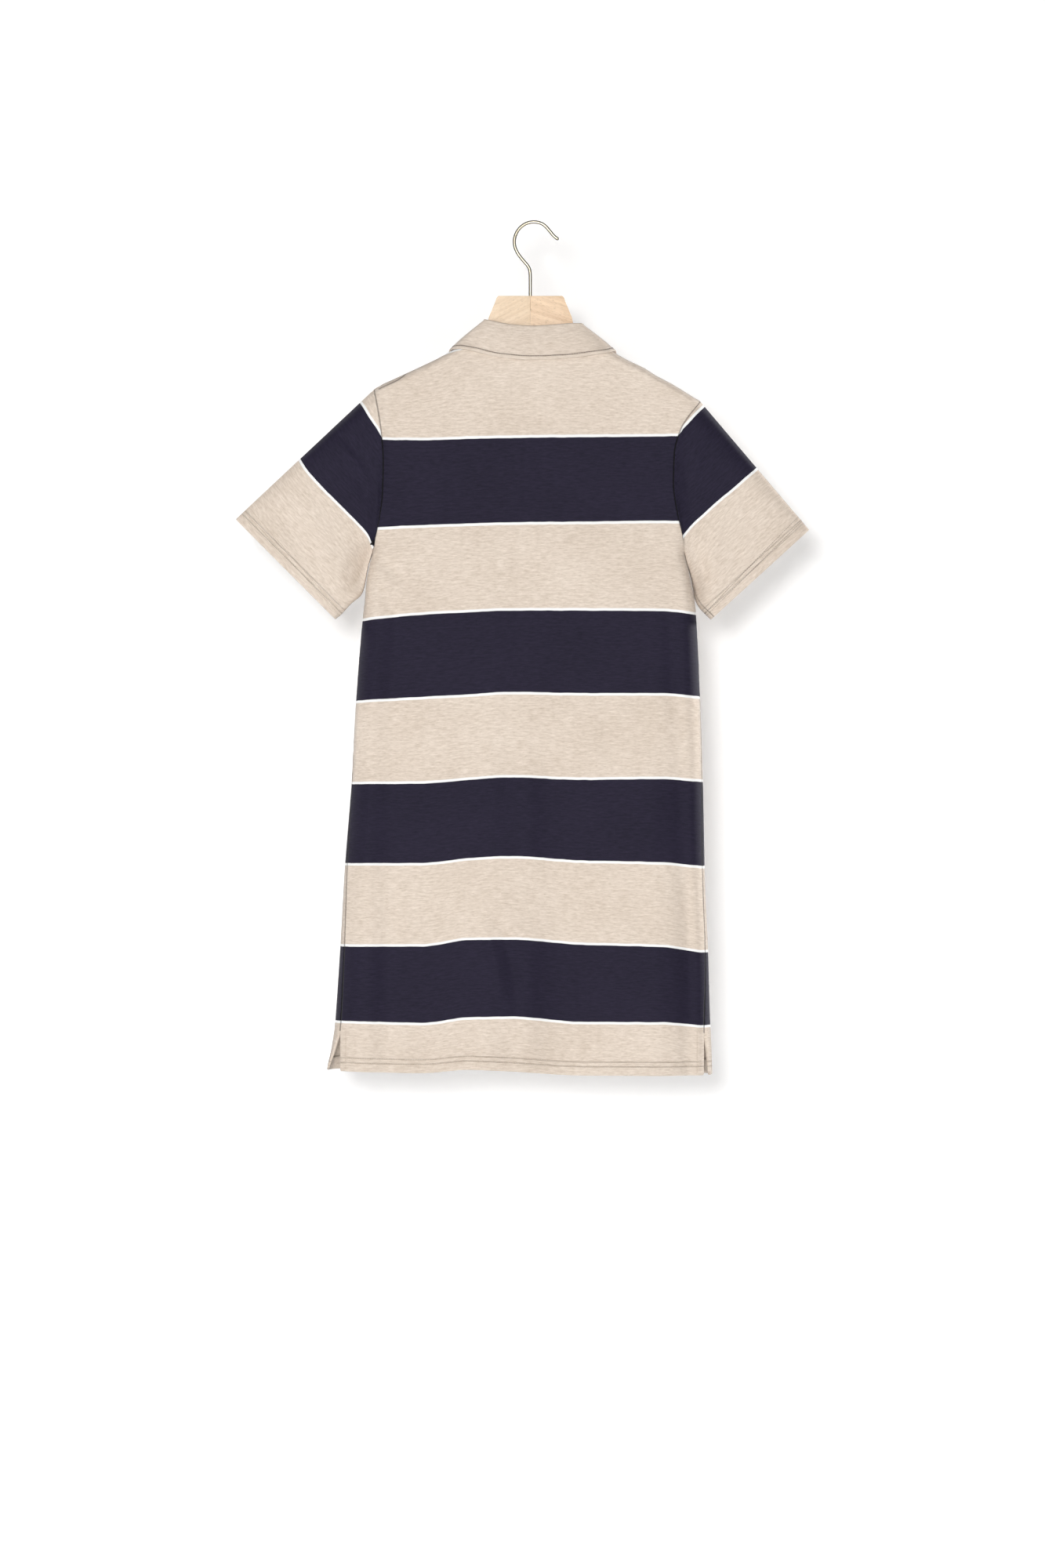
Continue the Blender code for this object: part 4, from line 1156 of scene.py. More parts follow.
def make_panel(name, face):
    """The back or the front, and what its stitching needs to know of it."""
    outer = 1 if face == BACK else -1
    levels = np.concatenate([PANEL_LEVELS, np.full(len(PANEL_RISES), UNDERARM)])
    rises = np.concatenate([np.zeros(len(PANEL_LEVELS)), PANEL_RISES])
    points = panel_surface(face, levels, rises, OUTER_SHARES, INNER_DISTANCES)
    normals = facing(points, outer)
    rows, columns = points.shape[:2]
    walked = lengths(points, 1)
    from_side = np.minimum(walked, walked[:, -1:] - walked)
    slit = np.clip((levels - SLIT_TOP) / 5.0, 0, 1)[:, None]
    armhole = np.clip(rises / 0.06, 0, 1)[:, None]
    drawn = puckers(rows, 3 + face)[:, None] * (0.3 + 0.25 * armhole) * bell(from_side - 3.0, 3.0)
    drawn = drawn + puckers(columns, 8 + face) * 0.22 * bell(lengths(points, 0) - 12.5, 6.0)
    points = points + normals * drawn[..., None]
    normals = facing(points, outer)
    band = band_at(points[..., 0], -points[..., 2])
    flat = on_flat_cloth(walked - walked[:, columns // 2 : columns // 2 + 1], band)
    from_hem = lengths(points, 0)
    seam = (0.3 + 0.7 * armhole) * bell(from_side, 6.5) * (1 - slit)
    seam_away = from_side + 20 * slit
    if face == BACK:
        seam_away = np.minimum(seam_away, from_path(SHOULDER_SEAM, points[..., 0], -points[..., 2])[0])
    fields = {
        "points": points,
        "flat": flat,
        "band": band,
        "upright_seam": seam + 0.6 * slit * bell(from_side, 9.5, 4),
        "level_seam": 0.3 * bell(from_hem, 17.0, 4),
        "seam_away": seam_away,
        **rows_between(HEM_ROWS, from_hem),
    }
    edges = []
    for end, next_to in ((0, 1), (-1, -2)):
        edge, outward = points[:, end], unit(points[:, end] - points[:, next_to])
        angle = math.pi / 2 * (1 + slit[:, 0])
        lines = turned_edge(edge, outward, -normals[:, end], angle, SEAM_ALLOWANCE)
        lines = eased(edge, lines, (1 - rises) / 0.05)
        facings = back_along(points, normals, (SLIT_FACING * 0.35, SLIT_FACING * 0.7, SLIT_FACING), end == -1)
        lines[4:] = [line * (1 - slit) + inner * slit for line, inner in zip(lines[4:], facings)]
        edges.append(lines)
    top = turned_edge(points[-1], unit(points[-1] - points[-2]), -normals[-1], math.pi / 2, SEAM_ALLOWANCE)
    hem = folded_hem(points, normals, HEM_DEPTH)
    grown, left_out = with_edges(fields, hem, eased(points[-1], top, from_side[-1] / 8.0), *edges)
    if face == FRONT:
        centre = left_out.shape[1] // 2
        half_slot = len(PLACKET_DISTANCES) + 1
        left_out[len(hem) + len(PANEL_LEVELS) - 1 :, centre - half_slot : centre + half_slot] = True
    panel = cloth_piece(name, grown, outer, CLOTH, left_out)
    return panel, {"points": points, "normals": normals, "from_hem": from_hem, "walked": walked, "slit": slit}


def run_on(grid, rows, across, lift=CLOTH / 2):
    """A path on a cloth's outer face, with its normals."""
    rows, across = np.broadcast_arrays(np.asarray(rows, float), np.asarray(across, float))
    normals = unit(at_place(grid["normals"], rows, across))
    return at_place(grid["points"], rows, across) + lift * normals, normals


def hem_runs(grid, heights):
    across = np.linspace(1.0, grid["points"].shape[1] - 2.0, 500)
    mean = grid["from_hem"].mean(axis=1)
    return [run_on(grid, np.interp(height, mean, np.arange(len(mean))), across) for height in heights]


def slit_runs(grid):
    """Stitching up both slit edges and once across above them."""
    slit_rows = int(np.sum(grid["slit"] > 0.5))
    rows = np.linspace(0.5, slit_rows + 1.0, 60)
    walked = grid["walked"]
    count = walked.shape[1]
    runs = []
    for from_end in (False, True):
        places = []
        for row in rows:
            line = walked[int(row)]
            away = line[-1] - line[::-1] if from_end else line
            place = float(np.interp(SLIT_ROW, away, np.arange(count)))
            places.append(count - 1 - place if from_end else place)
        runs.append(run_on(grid, rows, np.array(places)))
        top = np.linspace(places[-1], count - 1.6 if from_end else 0.6, 14)
        runs.append(run_on(grid, np.full(14, rows[-1]), top))
    return runs


# ---------------------------------------------------------------- sleeves


def armhole_edge(face, hand, rise):
    """(x, below) and half depth along an armhole."""
    sign = -1 if hand == "left" else 1
    x = smooth(*ARMHOLES[hand], rise)
    start, corner = x[np.argmin(rise)], RIDGE[0][1] if hand == "left" else RIDGE[-1][1]
    low = float(course_below(UNDERARM, start))
    below = low + (corner - low) * rise
    depth = np.abs(cloth_y(face, x, below, armhole_share(rise)))
    return np.stack([x + sign * 0.25, below], axis=-1), depth


def sleeve_surface(hand, turns, along):
    """A grid of points, along the sleeve from the armhole and round it from the top fold down the back."""
    shape = SLEEVES[hand]
    under = shape["underside"]
    rise = (1 + np.cos(turns)) / 2
    down = 1 - rise
    flank = np.abs(np.sin(turns))
    back = turns <= math.pi
    back_edge, back_depth = armhole_edge(BACK, hand, rise)
    front_edge, front_depth = armhole_edge(FRONT, hand, rise)
    edge = np.where(back[:, None], back_edge, front_edge)
    depth = np.where(back, back_depth, front_depth) * rounding(flank / 0.16)
    corner = back_edge[0]
    start = np.array([under[0][1], under[0][2]])
    settled = np.clip(rise / 0.03, 0, 1)[:, None]
    edge = start + (edge - start) * settled
    bow = edge - (corner + (start - corner) * down[:, None])
    cuff_depth = shape["cuff_half_depth"] * flank**0.6
    grid = np.empty((len(along), len(turns), 3))
    for k, share in enumerate(along):
        low_x, low_below, tuck = (float(from_table(under, index, share)) for index in (1, 2, 3))
        low = np.array([low_x, low_below])
        high = corner + (np.array(shape["cuff_top"]) - corner) * share
        place = high + (low - high) * down[:, None] + bow * (1 - share) ** 1.5
        y = np.where(back, -1, 1) * (depth + (cuff_depth - depth) * share)
        grid[k] = np.column_stack([place[:, 0], y + tuck * down**2, -place[:, 1]])
    return grid


SLEEVE_CREASES = (
    # side, height, half width, path
    (BACK, -1.8, 5, ((-250, 252), (-224, 280), (-202, 308))),
    (BACK, 1.4, 5, ((-243, 268), (-222, 292), (-204, 320))),
    (BACK, -1.6, 6, ((-232, 300), (-214, 324), (-202, 352))),
    (BACK, -3, 8, ((-197, 300), (-194, 345), (-196, 384))),
    (BACK, -15, 17, ((-200, 384), (-208, 420), (-217, 460))),
    (BACK, 2, 14, ((-232, 392), (-240, 420), (-250, 452))),
    (BACK, 1.6, 12, ((-290, 332), (-268, 376), (-254, 430))),
    (BACK, -1.8, 12, ((-316, 350), (-296, 384), (-280, 420))),
    (BACK, -2.4, 8, ((192, 280), (188, 320), (190, 362))),
    (BACK, 1.4, 7, ((216, 250), (204, 280), (196, 320))),
    (BACK, -1.6, 12, ((262, 330), (246, 372), (236, 420))),
    (BACK, 1.6, 10, ((226, 372), (222, 410), (226, 446))),
    (BACK, -3, 7, ((200, 400), (206, 430), (216, 460))),
    (FRONT, -3, 10, ((-214, 280), (-244, 320), (-262, 365))),
    (FRONT, 2.4, 10, ((-210, 330), (-232, 370), (-240, 420))),
    (FRONT, -3, 10, ((196, 290), (222, 330), (236, 375))),
    (FRONT, 2.4, 10, ((196, 340), (214, 375), (222, 430))),
)


def line_along(hand, line, down):
    """Share of the sleeve's length at which a white line crosses it, for each share of the way down."""
    line = np.array(line)
    ahead = unit(line[-1] - line[0])
    walked = (line - line[0]) @ ahead
    towards_cuff = np.array([-ahead[1], ahead[0]]) * (1 if hand == "left" else -1)
    aside = (line - line[0]) @ towards_cuff
    turns = np.linspace(0, math.pi, 121)
    along = np.linspace(0, 1, 201)
    grid = sleeve_surface(hand, turns, along)
    place = np.stack([grid[..., 0], -grid[..., 2]], axis=-1) - line[0]
    past = place @ towards_cuff - smooth(walked, aside, place @ ahead)
    seen = []
    for past_line in past.T:
        k = max(1, int(np.argmax(past_line >= 0)))
        step = (0.0 - past_line[k - 1]) / (past_line[k] - past_line[k - 1])
        seen.append(along[k - 1] + step * (along[k] - along[k - 1]))
    return np.interp(down, (1 - np.cos(turns)) / 2, seen)


def make_sleeve(hand):
    """One sleeve, and what its stitching needs to know of it."""
    outer = -1 if hand == "left" else 1
    turns = np.linspace(0, 2 * math.pi, 145)
    along = np.linspace(0, 1, 73)
    points = sleeve_surface(hand, turns, along)
    down = (1 - np.cos(turns)) / 2
    first, second = (line_along(hand, line, down) for line in SLEEVES[hand]["lines"])
    share = along[:, None]
    length = lengths(points, 0)[-1]
    above, below_both = (n + (share - line) * length / BAND_HEIGHT for n, line in ((1, first), (2, second)))
    between = 1 + (share - first) / (second - first)
    band = np.where(share < first, above, np.where(share < second, between, below_both))
    flank = np.minimum(1.0, 1.7 * np.abs(np.sin(turns))) ** 2
    back = (turns <= math.pi)[None, :]
    x, below = points[..., 0], -points[..., 2]
    loose = flank * np.clip(share / 0.06, 0, 1)
    lift_back = -(creases(SLEEVE_CREASES, BACK, x, below) + ripple(x, below, 21, 0.5)) * loose
    lift_front = (creases(SLEEVE_CREASES, FRONT, x, below) + ripple(x, below, 22, 0.5)) * loose
    points[..., 1] += np.where(back, lift_back, lift_front)
    from_armhole, from_cuff = lengths(points, 0), lengths(points[::-1], 0)[::-1]
    small = puckers(turns.size - 1, 11 if hand == "left" else 12)
    small = np.append(small, small[0])
    drawn = 0.5 * bell(from_armhole - 3.0, 3.0) + 0.22 * bell(from_cuff - 12.4, 6.0)
    points = points + facing(points, outer) * (drawn * small)[..., None]
    normals = facing(points, outer)
    walked = lengths(points, 1)
    middle = walked[:, turns.size // 2 : turns.size // 2 + 1]
    under_seam = middle + (9.5 if hand == "left" else -9.5)
    fields = {
        "points": points,
        "flat": on_flat_cloth(walked - middle, band),
        "band": np.minimum(band, 2.9),
        "level_seam": bell(from_armhole, 6.5) + 0.3 * bell(from_cuff, 17.0, 4),
        "upright_seam": 0.25 * bell(walked - under_seam, 5.0),
        "seam_away": np.minimum(from_armhole, np.abs(walked - under_seam)),
        **rows_between(CUFF_ROWS, from_cuff),
    }
    inner = turned_edge(points[0], unit(points[0] - points[1]), -normals[0], math.pi / 2, SEAM_ALLOWANCE)
    cuff = folded_hem(points[::-1], normals[::-1], HEM_DEPTH)
    grown, _ = with_edges(fields, eased(points[0], inner, down / 0.05), cuff, [], [])
    sleeve = cloth_piece(f"{hand}_sleeve_jersey", grown, outer, CLOTH, joined=True)
    return sleeve, {"points": points[::-1], "normals": normals[::-1], "from_hem": from_cuff[::-1]}


# ---------------------------------------------------------------- collar


def clear_of_panel(x, below, gap):
    share = (below - (virtual_ridge_below(x) - gap)) / (RIDGE_RADIUS + gap)
    top = np.where(share > 0, rounding(share), 0.0)
    return top * (half_depth(BACK, below) + gap), top * (half_depth(FRONT, below) + gap)


def collar_surface(turns):
    """A grid of points, from the seam up the stand, over the fold and down the leaf, and round the neck."""
    face_back = np.abs(turns) <= 90
    offset = np.sin(np.radians(turns))
    x = NECK_X + NECK_HALF * offset
    below = np.where(face_back, neckline_below(BACK, x), neckline_below(FRONT, x))
    y = np.where(face_back, cloth_y(BACK, x, below, 1.0, 0.35), cloth_y(FRONT, x, below, 1.0, 0.35))
    edge = np.column_stack([x, y, -below])
    along = unit(np.gradient(edge, axis=0))
    inwards = np.column_stack([(NECK_X - x) / NECK_HALF, np.zeros(len(x)), np.full(len(x), 0.8)])
    inwards -= along * np.sum(inwards * along, axis=1)[:, None]
    seam = edge + COLLAR_GAP * unit(inwards)
    fold_x, fold_below, fold_y = (from_table(COLLAR, index, turns) for index in (1, 2, 3))
    leaf_x, leaf_below, leaf_y = (from_table(COLLAR, index, turns) for index in (4, 5, 6))
    fold = np.column_stack([fold_x, fold_y, -fold_below])
    leaf = np.column_stack([leaf_x, leaf_y, -leaf_below])
    out = np.column_stack([np.sin(np.radians(turns)), -np.cos(np.radians(turns)), np.zeros(len(turns))])
    up = np.array([0.0, 0.0, 1.0])
    stand_top = fold - out * FOLD_RADIUS - up * FOLD_RADIUS
    leaf_top = fold + out * FOLD_RADIUS - up * FOLD_RADIUS
    rows = [seam + (stand_top - seam) * k / 7 for k in range(7)]
    for k in range(7):
        angle = math.pi * k / 6
        middle = (stand_top + leaf_top) / 2
        rows.append(middle - out * FOLD_RADIUS * math.cos(angle) + up * FOLD_RADIUS * math.sin(angle))
    for k in range(1, 25):
        share = k / 24
        rows.append(leaf_top + (leaf - leaf_top) * share + out * 1.4 * math.sin(math.pi * share))
    grid = np.stack(rows)
    gap = CLOTH / 2 + COLLAR_CLOTH / 2 + LEAF_GAP - 0.6
    back, front = clear_of_panel(grid[8:, :, 0], -grid[8:, :, 2], gap)
    y = grid[8:, :, 1]
    pushed = np.where(y > 0, np.maximum(y, front), np.minimum(y, -back)) - y
    for _ in range(14):
        pushed[1:-1] = (pushed[:-2] + 2 * pushed[1:-1] + pushed[2:]) / 4
        pushed[:, 1:-1] = (pushed[:, :-2] + 2 * pushed[:, 1:-1] + pushed[:, 2:]) / 4
    y = y + pushed
    grid[8:, :, 1] = np.where(y > 0, np.maximum(y, front - 0.8), np.minimum(y, 0.8 - back))
    return grid


def make_collar():
    """The collar, and what its stitching needs to know of it."""
    turns = np.linspace(-168.26, 168.26, 225)
    points = collar_surface(turns)
    walked = lengths(points, 1)
    from_seam = lengths(points, 0)
    from_edge = from_seam[-1] - from_seam
    leaf = (np.arange(len(points)) >= 14)[:, None]
    rng = np.random.default_rng(5)
    pucker = np.interp(walked[-1], np.arange(0, 700, 3.1), rng.uniform(-1, 1, 226))
    lift = 0.35 * pucker * bell(from_edge - 1.5, 2.6) * leaf
    normals = facing(points, -1)
    points = points + normals * lift[..., None]
    normals = facing(points, -1)
    middle = turns.size // 2
    fields = {
        "points": points,
        "flat": np.stack([walked - walked[:, middle : middle + 1], from_edge], axis=-1) * MM,
        "band": np.full(walked.shape, 0.5),
        "upright_seam": np.zeros(walked.shape),
        "level_seam": leaf * 0.4 * np.cos(np.radians(turns / 2)) ** 2 * bell(from_edge, 6.5, 4),
        "seam_away": from_seam,
        "row_away": from_edge - COLLAR_ROW,
        "row_gap": np.zeros(walked.shape),
    }
    collar = cloth_piece("folded_collar", fields, -1, COLLAR_CLOTH)
    return collar, {"points": points, "normals": normals, "from_edge": from_edge, "walked": walked}


def collar_runs(grid):
    """Topstitching round the leaf, 5 mm from its edges."""
    rows, columns = grid["points"].shape[:2]
    back_rows = np.arange(rows)[::-1]
    place = np.array([np.interp(COLLAR_ROW, from_edge, back_rows) for from_edge in grid["from_edge"][::-1].T])
    walked = grid["walked"][20]
    near, far = np.interp((COLLAR_ROW, walked[-1] - COLLAR_ROW), walked, np.arange(columns))
    across = np.linspace(near, far, 900)
    lift = COLLAR_CLOTH / 2
    bottom = run_on(grid, np.interp(across, np.arange(columns), place), across, lift)
    ends = []
    for side in (near, far):
        ends.append(run_on(grid, np.linspace(14.5, place[int(side)], 80), np.full(80, side), lift))
    return [bottom, *ends]


# ---------------------------------------------------------------- placket and buttons


def strip_surface(half_width, lift, across, down):
    """The placket's strip, `lift` outside the middle of the front panel."""
    grid = []
    for rise in down:
        middle = centre_x(level_at(rise))
        x = middle + np.linspace(-half_width, half_width, across)
        low, top = course_below(UNDERARM, x) + 1.5, neckline_below(FRONT, x) - 0.4
        below = low + (top - low) * rise
        grid.append(np.column_stack([x, cloth_y(FRONT, x, below, 1.0) + lift, -below]))
    return np.array(grid)


def make_strip(name, half_width, lift):
    """One strip of the placket, and what its stitching needs to know of it."""
    points = strip_surface(half_width, lift, 15, np.linspace(0, 1, 70))
    normals = facing(points, -1)
    band = band_at(points[..., 0], -points[..., 2])
    walked = lengths(points, 1)
    from_side = np.minimum(walked, walked[:, -1:] - walked)
    fields = {
        "points": points,
        "flat": on_flat_cloth(walked, band),
        "band": band,
        "upright_seam": 0.5 * bell(from_side, 3.0),
        "level_seam": np.zeros(band.shape),
        "seam_away": np.full(band.shape, 99.0),
        "row_away": from_side - 2.37,
        "row_gap": np.zeros(band.shape),
    }
    edges = []
    for end, next_to in ((0, 1), (-1, -2)):
        outward = unit(points[:, end] - points[:, next_to])
        edges.append(turned_edge(points[:, end], outward, -normals[:, end], math.pi / 2, 0.3)[:4])
    grown, left_out = with_edges(fields, [], [], *edges)
    return cloth_piece(name, grown, -1, CLOTH, left_out), {"points": points, "normals": normals}


def placket_runs(grid):
    """Two rows of stitching down the sides and a box at the foot."""
    rows, columns = grid["points"].shape[:2]
    runs = []
    for place in (1.0, columns - 2.0):
        runs.append(run_on(grid, np.linspace(0.6, rows - 1.2, 200), np.full(200, place)))
    for height in (0.7, 5.5):
        runs.append(run_on(grid, np.full(40, height), np.linspace(1.0, columns - 2.0, 40)))
    return runs


def button_seat(drop):
    """Middle of a button's seat on the placket and the cloth's slope there."""
    top = float(neckline_below(FRONT, NECK_X))
    below = top + drop
    low = float(course_below(UNDERARM, NECK_X))
    x = float(centre_x(level_at((low - below) / (low - top))))
    heights = cloth_y(FRONT, np.full(3, x), np.array([below - 6, below, below + 6]), 1.0)
    return np.array([x, heights[1] + 2.0, -below]), math.atan2(heights[2] - heights[0], 12.0)


def model_button():
    """A four-hole shirt button facing +Z: a turned disc with a rolled rim and a shallow well."""
    radius, thickness = BUTTON_RADIUS * MM, BUTTON_THICKNESS * MM
    bpy.ops.mesh.primitive_cylinder_add(vertices=48, radius=radius, depth=thickness, end_fill_type="NGON")
    button = bpy.context.active_object
    bpy.ops.object.mode_set(mode="EDIT")
    mesh = bmesh.from_edit_mesh(button.data)
    for face in mesh.faces:
        face.select = face.normal.z > 0.9
    bmesh.update_edit_mesh(button.data)
    bpy.ops.mesh.inset(thickness=1.25 * MM, depth=0.0)
    bpy.ops.mesh.inset(thickness=0.35 * MM, depth=-0.5 * MM)
    bpy.ops.mesh.inset(thickness=0.9 * MM, depth=-0.15 * MM)
    bpy.ops.object.mode_set(mode="OBJECT")
    round_edges(button, "rolled rim", 0.45, 3, 50)
    for number in range(4):
        turn = math.pi / 4 + math.pi / 2 * number
        drill_hole(button, "thread hole", 16, 0.55, 6.0, (1.35 * math.cos(turn), 1.35 * math.sin(turn), 0.0))
    only(button)
    bpy.ops.object.shade_smooth_by_angle(angle=math.radians(35))
    return button


def make_buttons():
    """The buttons, each sewn on by two bars of thread, which are handed back."""
    pattern = model_button()
    threads = []
    for number, drop in enumerate(BUTTON_DROPS, 1):
        seat, slope = button_seat(drop)
        place = Matrix.Translation(Vector(seat) * MM + Vector((0, BUTTON_THICKNESS / 2 * MM, 0)))
        place = place @ Matrix.Rotation(math.pi / 2 - slope, 4, "X").inverted()
        place = place @ Matrix.Rotation(math.pi, 4, "Z")
        mesh = pattern.data.copy()
        mesh.transform(place)
        button = linked(f"shell_button_{number}", mesh)
        resurface(button, shell_surface)
        settle(button, f"button_{number}")
        for side in (-0.95, 0.95):
            ends = [place @ Vector((side * MM, reach * MM, 0.78 * MM)) for reach in (-1.5, 1.5)]
            out = place.to_3x3() @ Vector((0, 0, 1))
            path = np.array([np.array(end) / MM for end in ends])
            threads.append((path, np.array([out, out])))
    bpy.data.objects.remove(pattern)
    return stitching("button_thread", threads, sand_thread, length=2.9, pitch=2.95, thickness=0.7, sunk=0.0)


def buttonhole_runs(grid):
    """Close stitches down both sides of each buttonhole, which stands upright on the placket."""
    rows = np.arange(grid["points"].shape[0])
    heights = grid["points"][:, 7, 2]
    runs = []
    for drop in BUTTON_DROPS:
        seat, _ = button_seat(drop)
        span = np.interp([seat[2] - 8.0, seat[2] + 8.0], heights, rows)
        for place in (6.6, 7.4):
            runs.append(run_on(grid, np.linspace(span[0], span[1], 30), np.full(30, place)))
    return runs


# ---------------------------------------------------------------- hanger


def wood_edges(hand):
    """(x, upper height, lower height) of one half of the hanger, from the glue line to its tip."""
    sign = -1 if hand == "left" else 1
    tip = ARM_TIP[hand]
    neck_end = (NECK_LEFT if hand == "left" else NECK_RIGHT) + sign * 4.0
    line = HANGER_X + sign * 0.05
    halves = column(HANGER_NECK, 0)
    neck = [HANGER_X + sign * half for half in np.linspace(halves[0], halves[-1], 26)]
    flat = list(np.linspace(line, HANGER_X + sign * halves[0], 9)[:-1])
    shoulder = list(np.linspace(neck[-1], tip, 40)[1:])
    foot = float(ridge_below(neck_end)) + HANGER_UNDER_CLOTH + ARM_HEIGHT_AT_NECK
    edges = []
    for x in flat + neck + shoulder:
        half = abs(x - HANGER_X)
        if half <= halves[-1]:
            upper = float(from_table(HANGER_NECK, 1, half))
        else:
            upper = float(ridge_below(x)) + HANGER_UNDER_CLOTH
        share = (x - neck_end) / (tip - neck_end)
        if share >= 0:
            lower = float(ridge_below(x)) + HANGER_UNDER_CLOTH
            lower += ARM_HEIGHT_AT_NECK + (ARM_HEIGHT_AT_TIP - ARM_HEIGHT_AT_NECK) * share
        else:
            lower = foot - 14.0 * math.sin(math.pi / 2 * (x - neck_end) / (line - neck_end))
        edges.append((x, upper, lower))
    x, upper, lower = edges[-1]
    middle, half = (upper + lower) / 2, (lower - upper) / 2
    for k in range(1, 9):
        angle = math.pi / 2 * k / 8.5
        drop = half * math.cos(angle)
        edges.append((x + sign * 5.0 * math.sin(angle), middle - drop, middle + drop))
    return edges


def make_arm(hand, surface_of_wood):
    """One half of the hanger: a strip bent to its edges, made thick, rounded and bored for the stem."""
    edges = wood_edges(hand)
    bpy.ops.mesh.primitive_grid_add(x_subdivisions=len(edges) - 1, y_subdivisions=1, size=2.0)
    arm = bpy.context.active_object
    arm.name = f"beech_arm_{hand}"
    places = sorted({round(vert.co.x, 6) for vert in arm.data.vertices})
    for vert in arm.data.vertices:
        x, upper, lower = edges[min(range(len(places)), key=lambda i: abs(places[i] - vert.co.x))]
        vert.co = (x * MM, -HANGER_HALF_THICKNESS * MM, -(upper if vert.co.y > 0 else lower) * MM)
    bpy.ops.object.mode_set(mode="EDIT")
    bpy.ops.mesh.select_all(action="SELECT")
    move = {"value": (0, 2 * HANGER_HALF_THICKNESS * MM, 0)}
    bpy.ops.mesh.extrude_region_move(TRANSFORM_OT_translate=move)
    bpy.ops.mesh.select_all(action="SELECT")
    bpy.ops.mesh.normals_make_consistent(inside=False)
    bpy.ops.object.mode_set(mode="OBJECT")
    round_edges(arm, "rounded edges", 2.6, 5, 60)
    drill_hole(arm, "stem hole", 40, 2.4, 60.0, (HANGER_X, 0.0, 30.0 - STEM_FOOT - 0.6))
    only(arm)
    bpy.ops.object.shade_smooth_by_angle(angle=math.radians(40))
    resurface(arm, surface_of_wood)
    settle(arm, f"hanger_arm_{hand}")


def make_hook():
    """The bent wire: a rounded tip, the arc over the rail, the sweep back to the middle and the stem."""
    arc = np.radians(np.arange(62, 179, 3.0))
    middle_x, middle_below = HOOK_CENTRE
    across, up = HOOK_RADIUS
    bend = [(middle_x + across * math.cos(angle), middle_below - up * math.sin(angle)) for angle in arc]
    stem = [(HANGER_X, 66.0), (HANGER_X, 80.0), (HANGER_X, STEM_FOOT)]
    path = np.array([*HOOK_TIP, *bend, *HOOK_SWEEP, *stem])
    walked = np.concatenate([[0.0], np.cumsum(np.hypot(*np.diff(path, axis=0).T))])
    at = np.concatenate([np.linspace(0, 1.6, 7), np.arange(2.4, walked[-1], 0.9), [walked[-1]]])
    x, below = (smooth(walked, path[:, i], at) for i in (0, 1))
    for _ in range(6):
        x[1:-1] = (x[:-2] + 2 * x[1:-1] + x[2:]) / 4
        below[1:-1] = (below[:-2] + 2 * below[1:-1] + below[2:]) / 4
    curve = bpy.data.curves.new("hook_wire", "CURVE")
    curve.dimensions, curve.use_fill_caps = "3D", True
    curve.bevel_depth, curve.bevel_resolution = WIRE_RADIUS * MM, 6
    spline = curve.splines.new("POLY")
    spline.points.add(len(x) - 1)
    for k, point in enumerate(spline.points):
        point.co = (x[k] * MM, 0.0, -below[k] * MM, 1.0)
        point.radius = math.sqrt(max(0.02, 1 - (1 - min(1.0, at[k] / 1.9)) ** 2))
    hook = linked("hook_wire", curve)
    only(hook)
    bpy.ops.object.convert(target="MESH")
    resurface(hook, gold_wire)
    hook.data.shade_smooth()
    settle(hook, "hanger_hook")
    return hook


# ---------------------------------------------------------------- the dress on its hanger


for spare in bpy.context.view_layer.objects:
    spare.select_set(False)
back, back_grid = make_panel("back_jersey", BACK)
front, front_grid = make_panel("front_jersey", FRONT)
left_sleeve, left_grid = make_sleeve("left")
right_sleeve, right_grid = make_sleeve("right")
collar, collar_grid = make_collar()
placket_top, top_grid = make_strip("placket_over", PLACKET_HALF + 0.6, CLOTH + 0.1)
placket_under, _ = make_strip("placket_below", PLACKET_HALF - 1.5, -0.9)
pieces = (
    (back, "back_panel"),
    (front, "front_panel"),
    (left_sleeve, "sleeve_left"),
    (right_sleeve, "sleeve_right"),
    (collar, "collar"),
    (placket_top, "placket_top"),
    (placket_under, "placket_under"),
)
for piece, node in pieces:
    settle(piece, node)

back_runs, front_runs = (hem_runs(grid, HEM_ROWS) + slit_runs(grid) for grid in (back_grid, front_grid))
back_thread = stitching("back_hem_thread", back_runs, sand_thread)
front_thread = stitching("front_hem_thread", front_runs, sand_thread)
left_thread = stitching("left_cuff_thread", hem_runs(left_grid, CUFF_ROWS), sand_thread)
right_thread = stitching("right_cuff_thread", hem_runs(right_grid, CUFF_ROWS), brown_thread, sunk=0.14)
collar_thread = stitching("collar_thread", collar_runs(collar_grid), brown_thread, thickness=0.6, sunk=0.04)
placket_thread = stitching("placket_thread", placket_runs(top_grid), sand_thread)
hole_thread = stitching("buttonhole_thread", buttonhole_runs(top_grid), sand_thread, 0.9, 0.75, 1.1)
button_thread = make_buttons()
for thread in (back_thread, front_thread, left_thread, right_thread, collar_thread):
    settle(thread)
for thread in (placket_thread, hole_thread, button_thread):
    settle(thread)

make_arm("left", beech_left)
make_arm("right", beech_right)
hook = make_hook()

# ---------------------------------------------------------------- studio


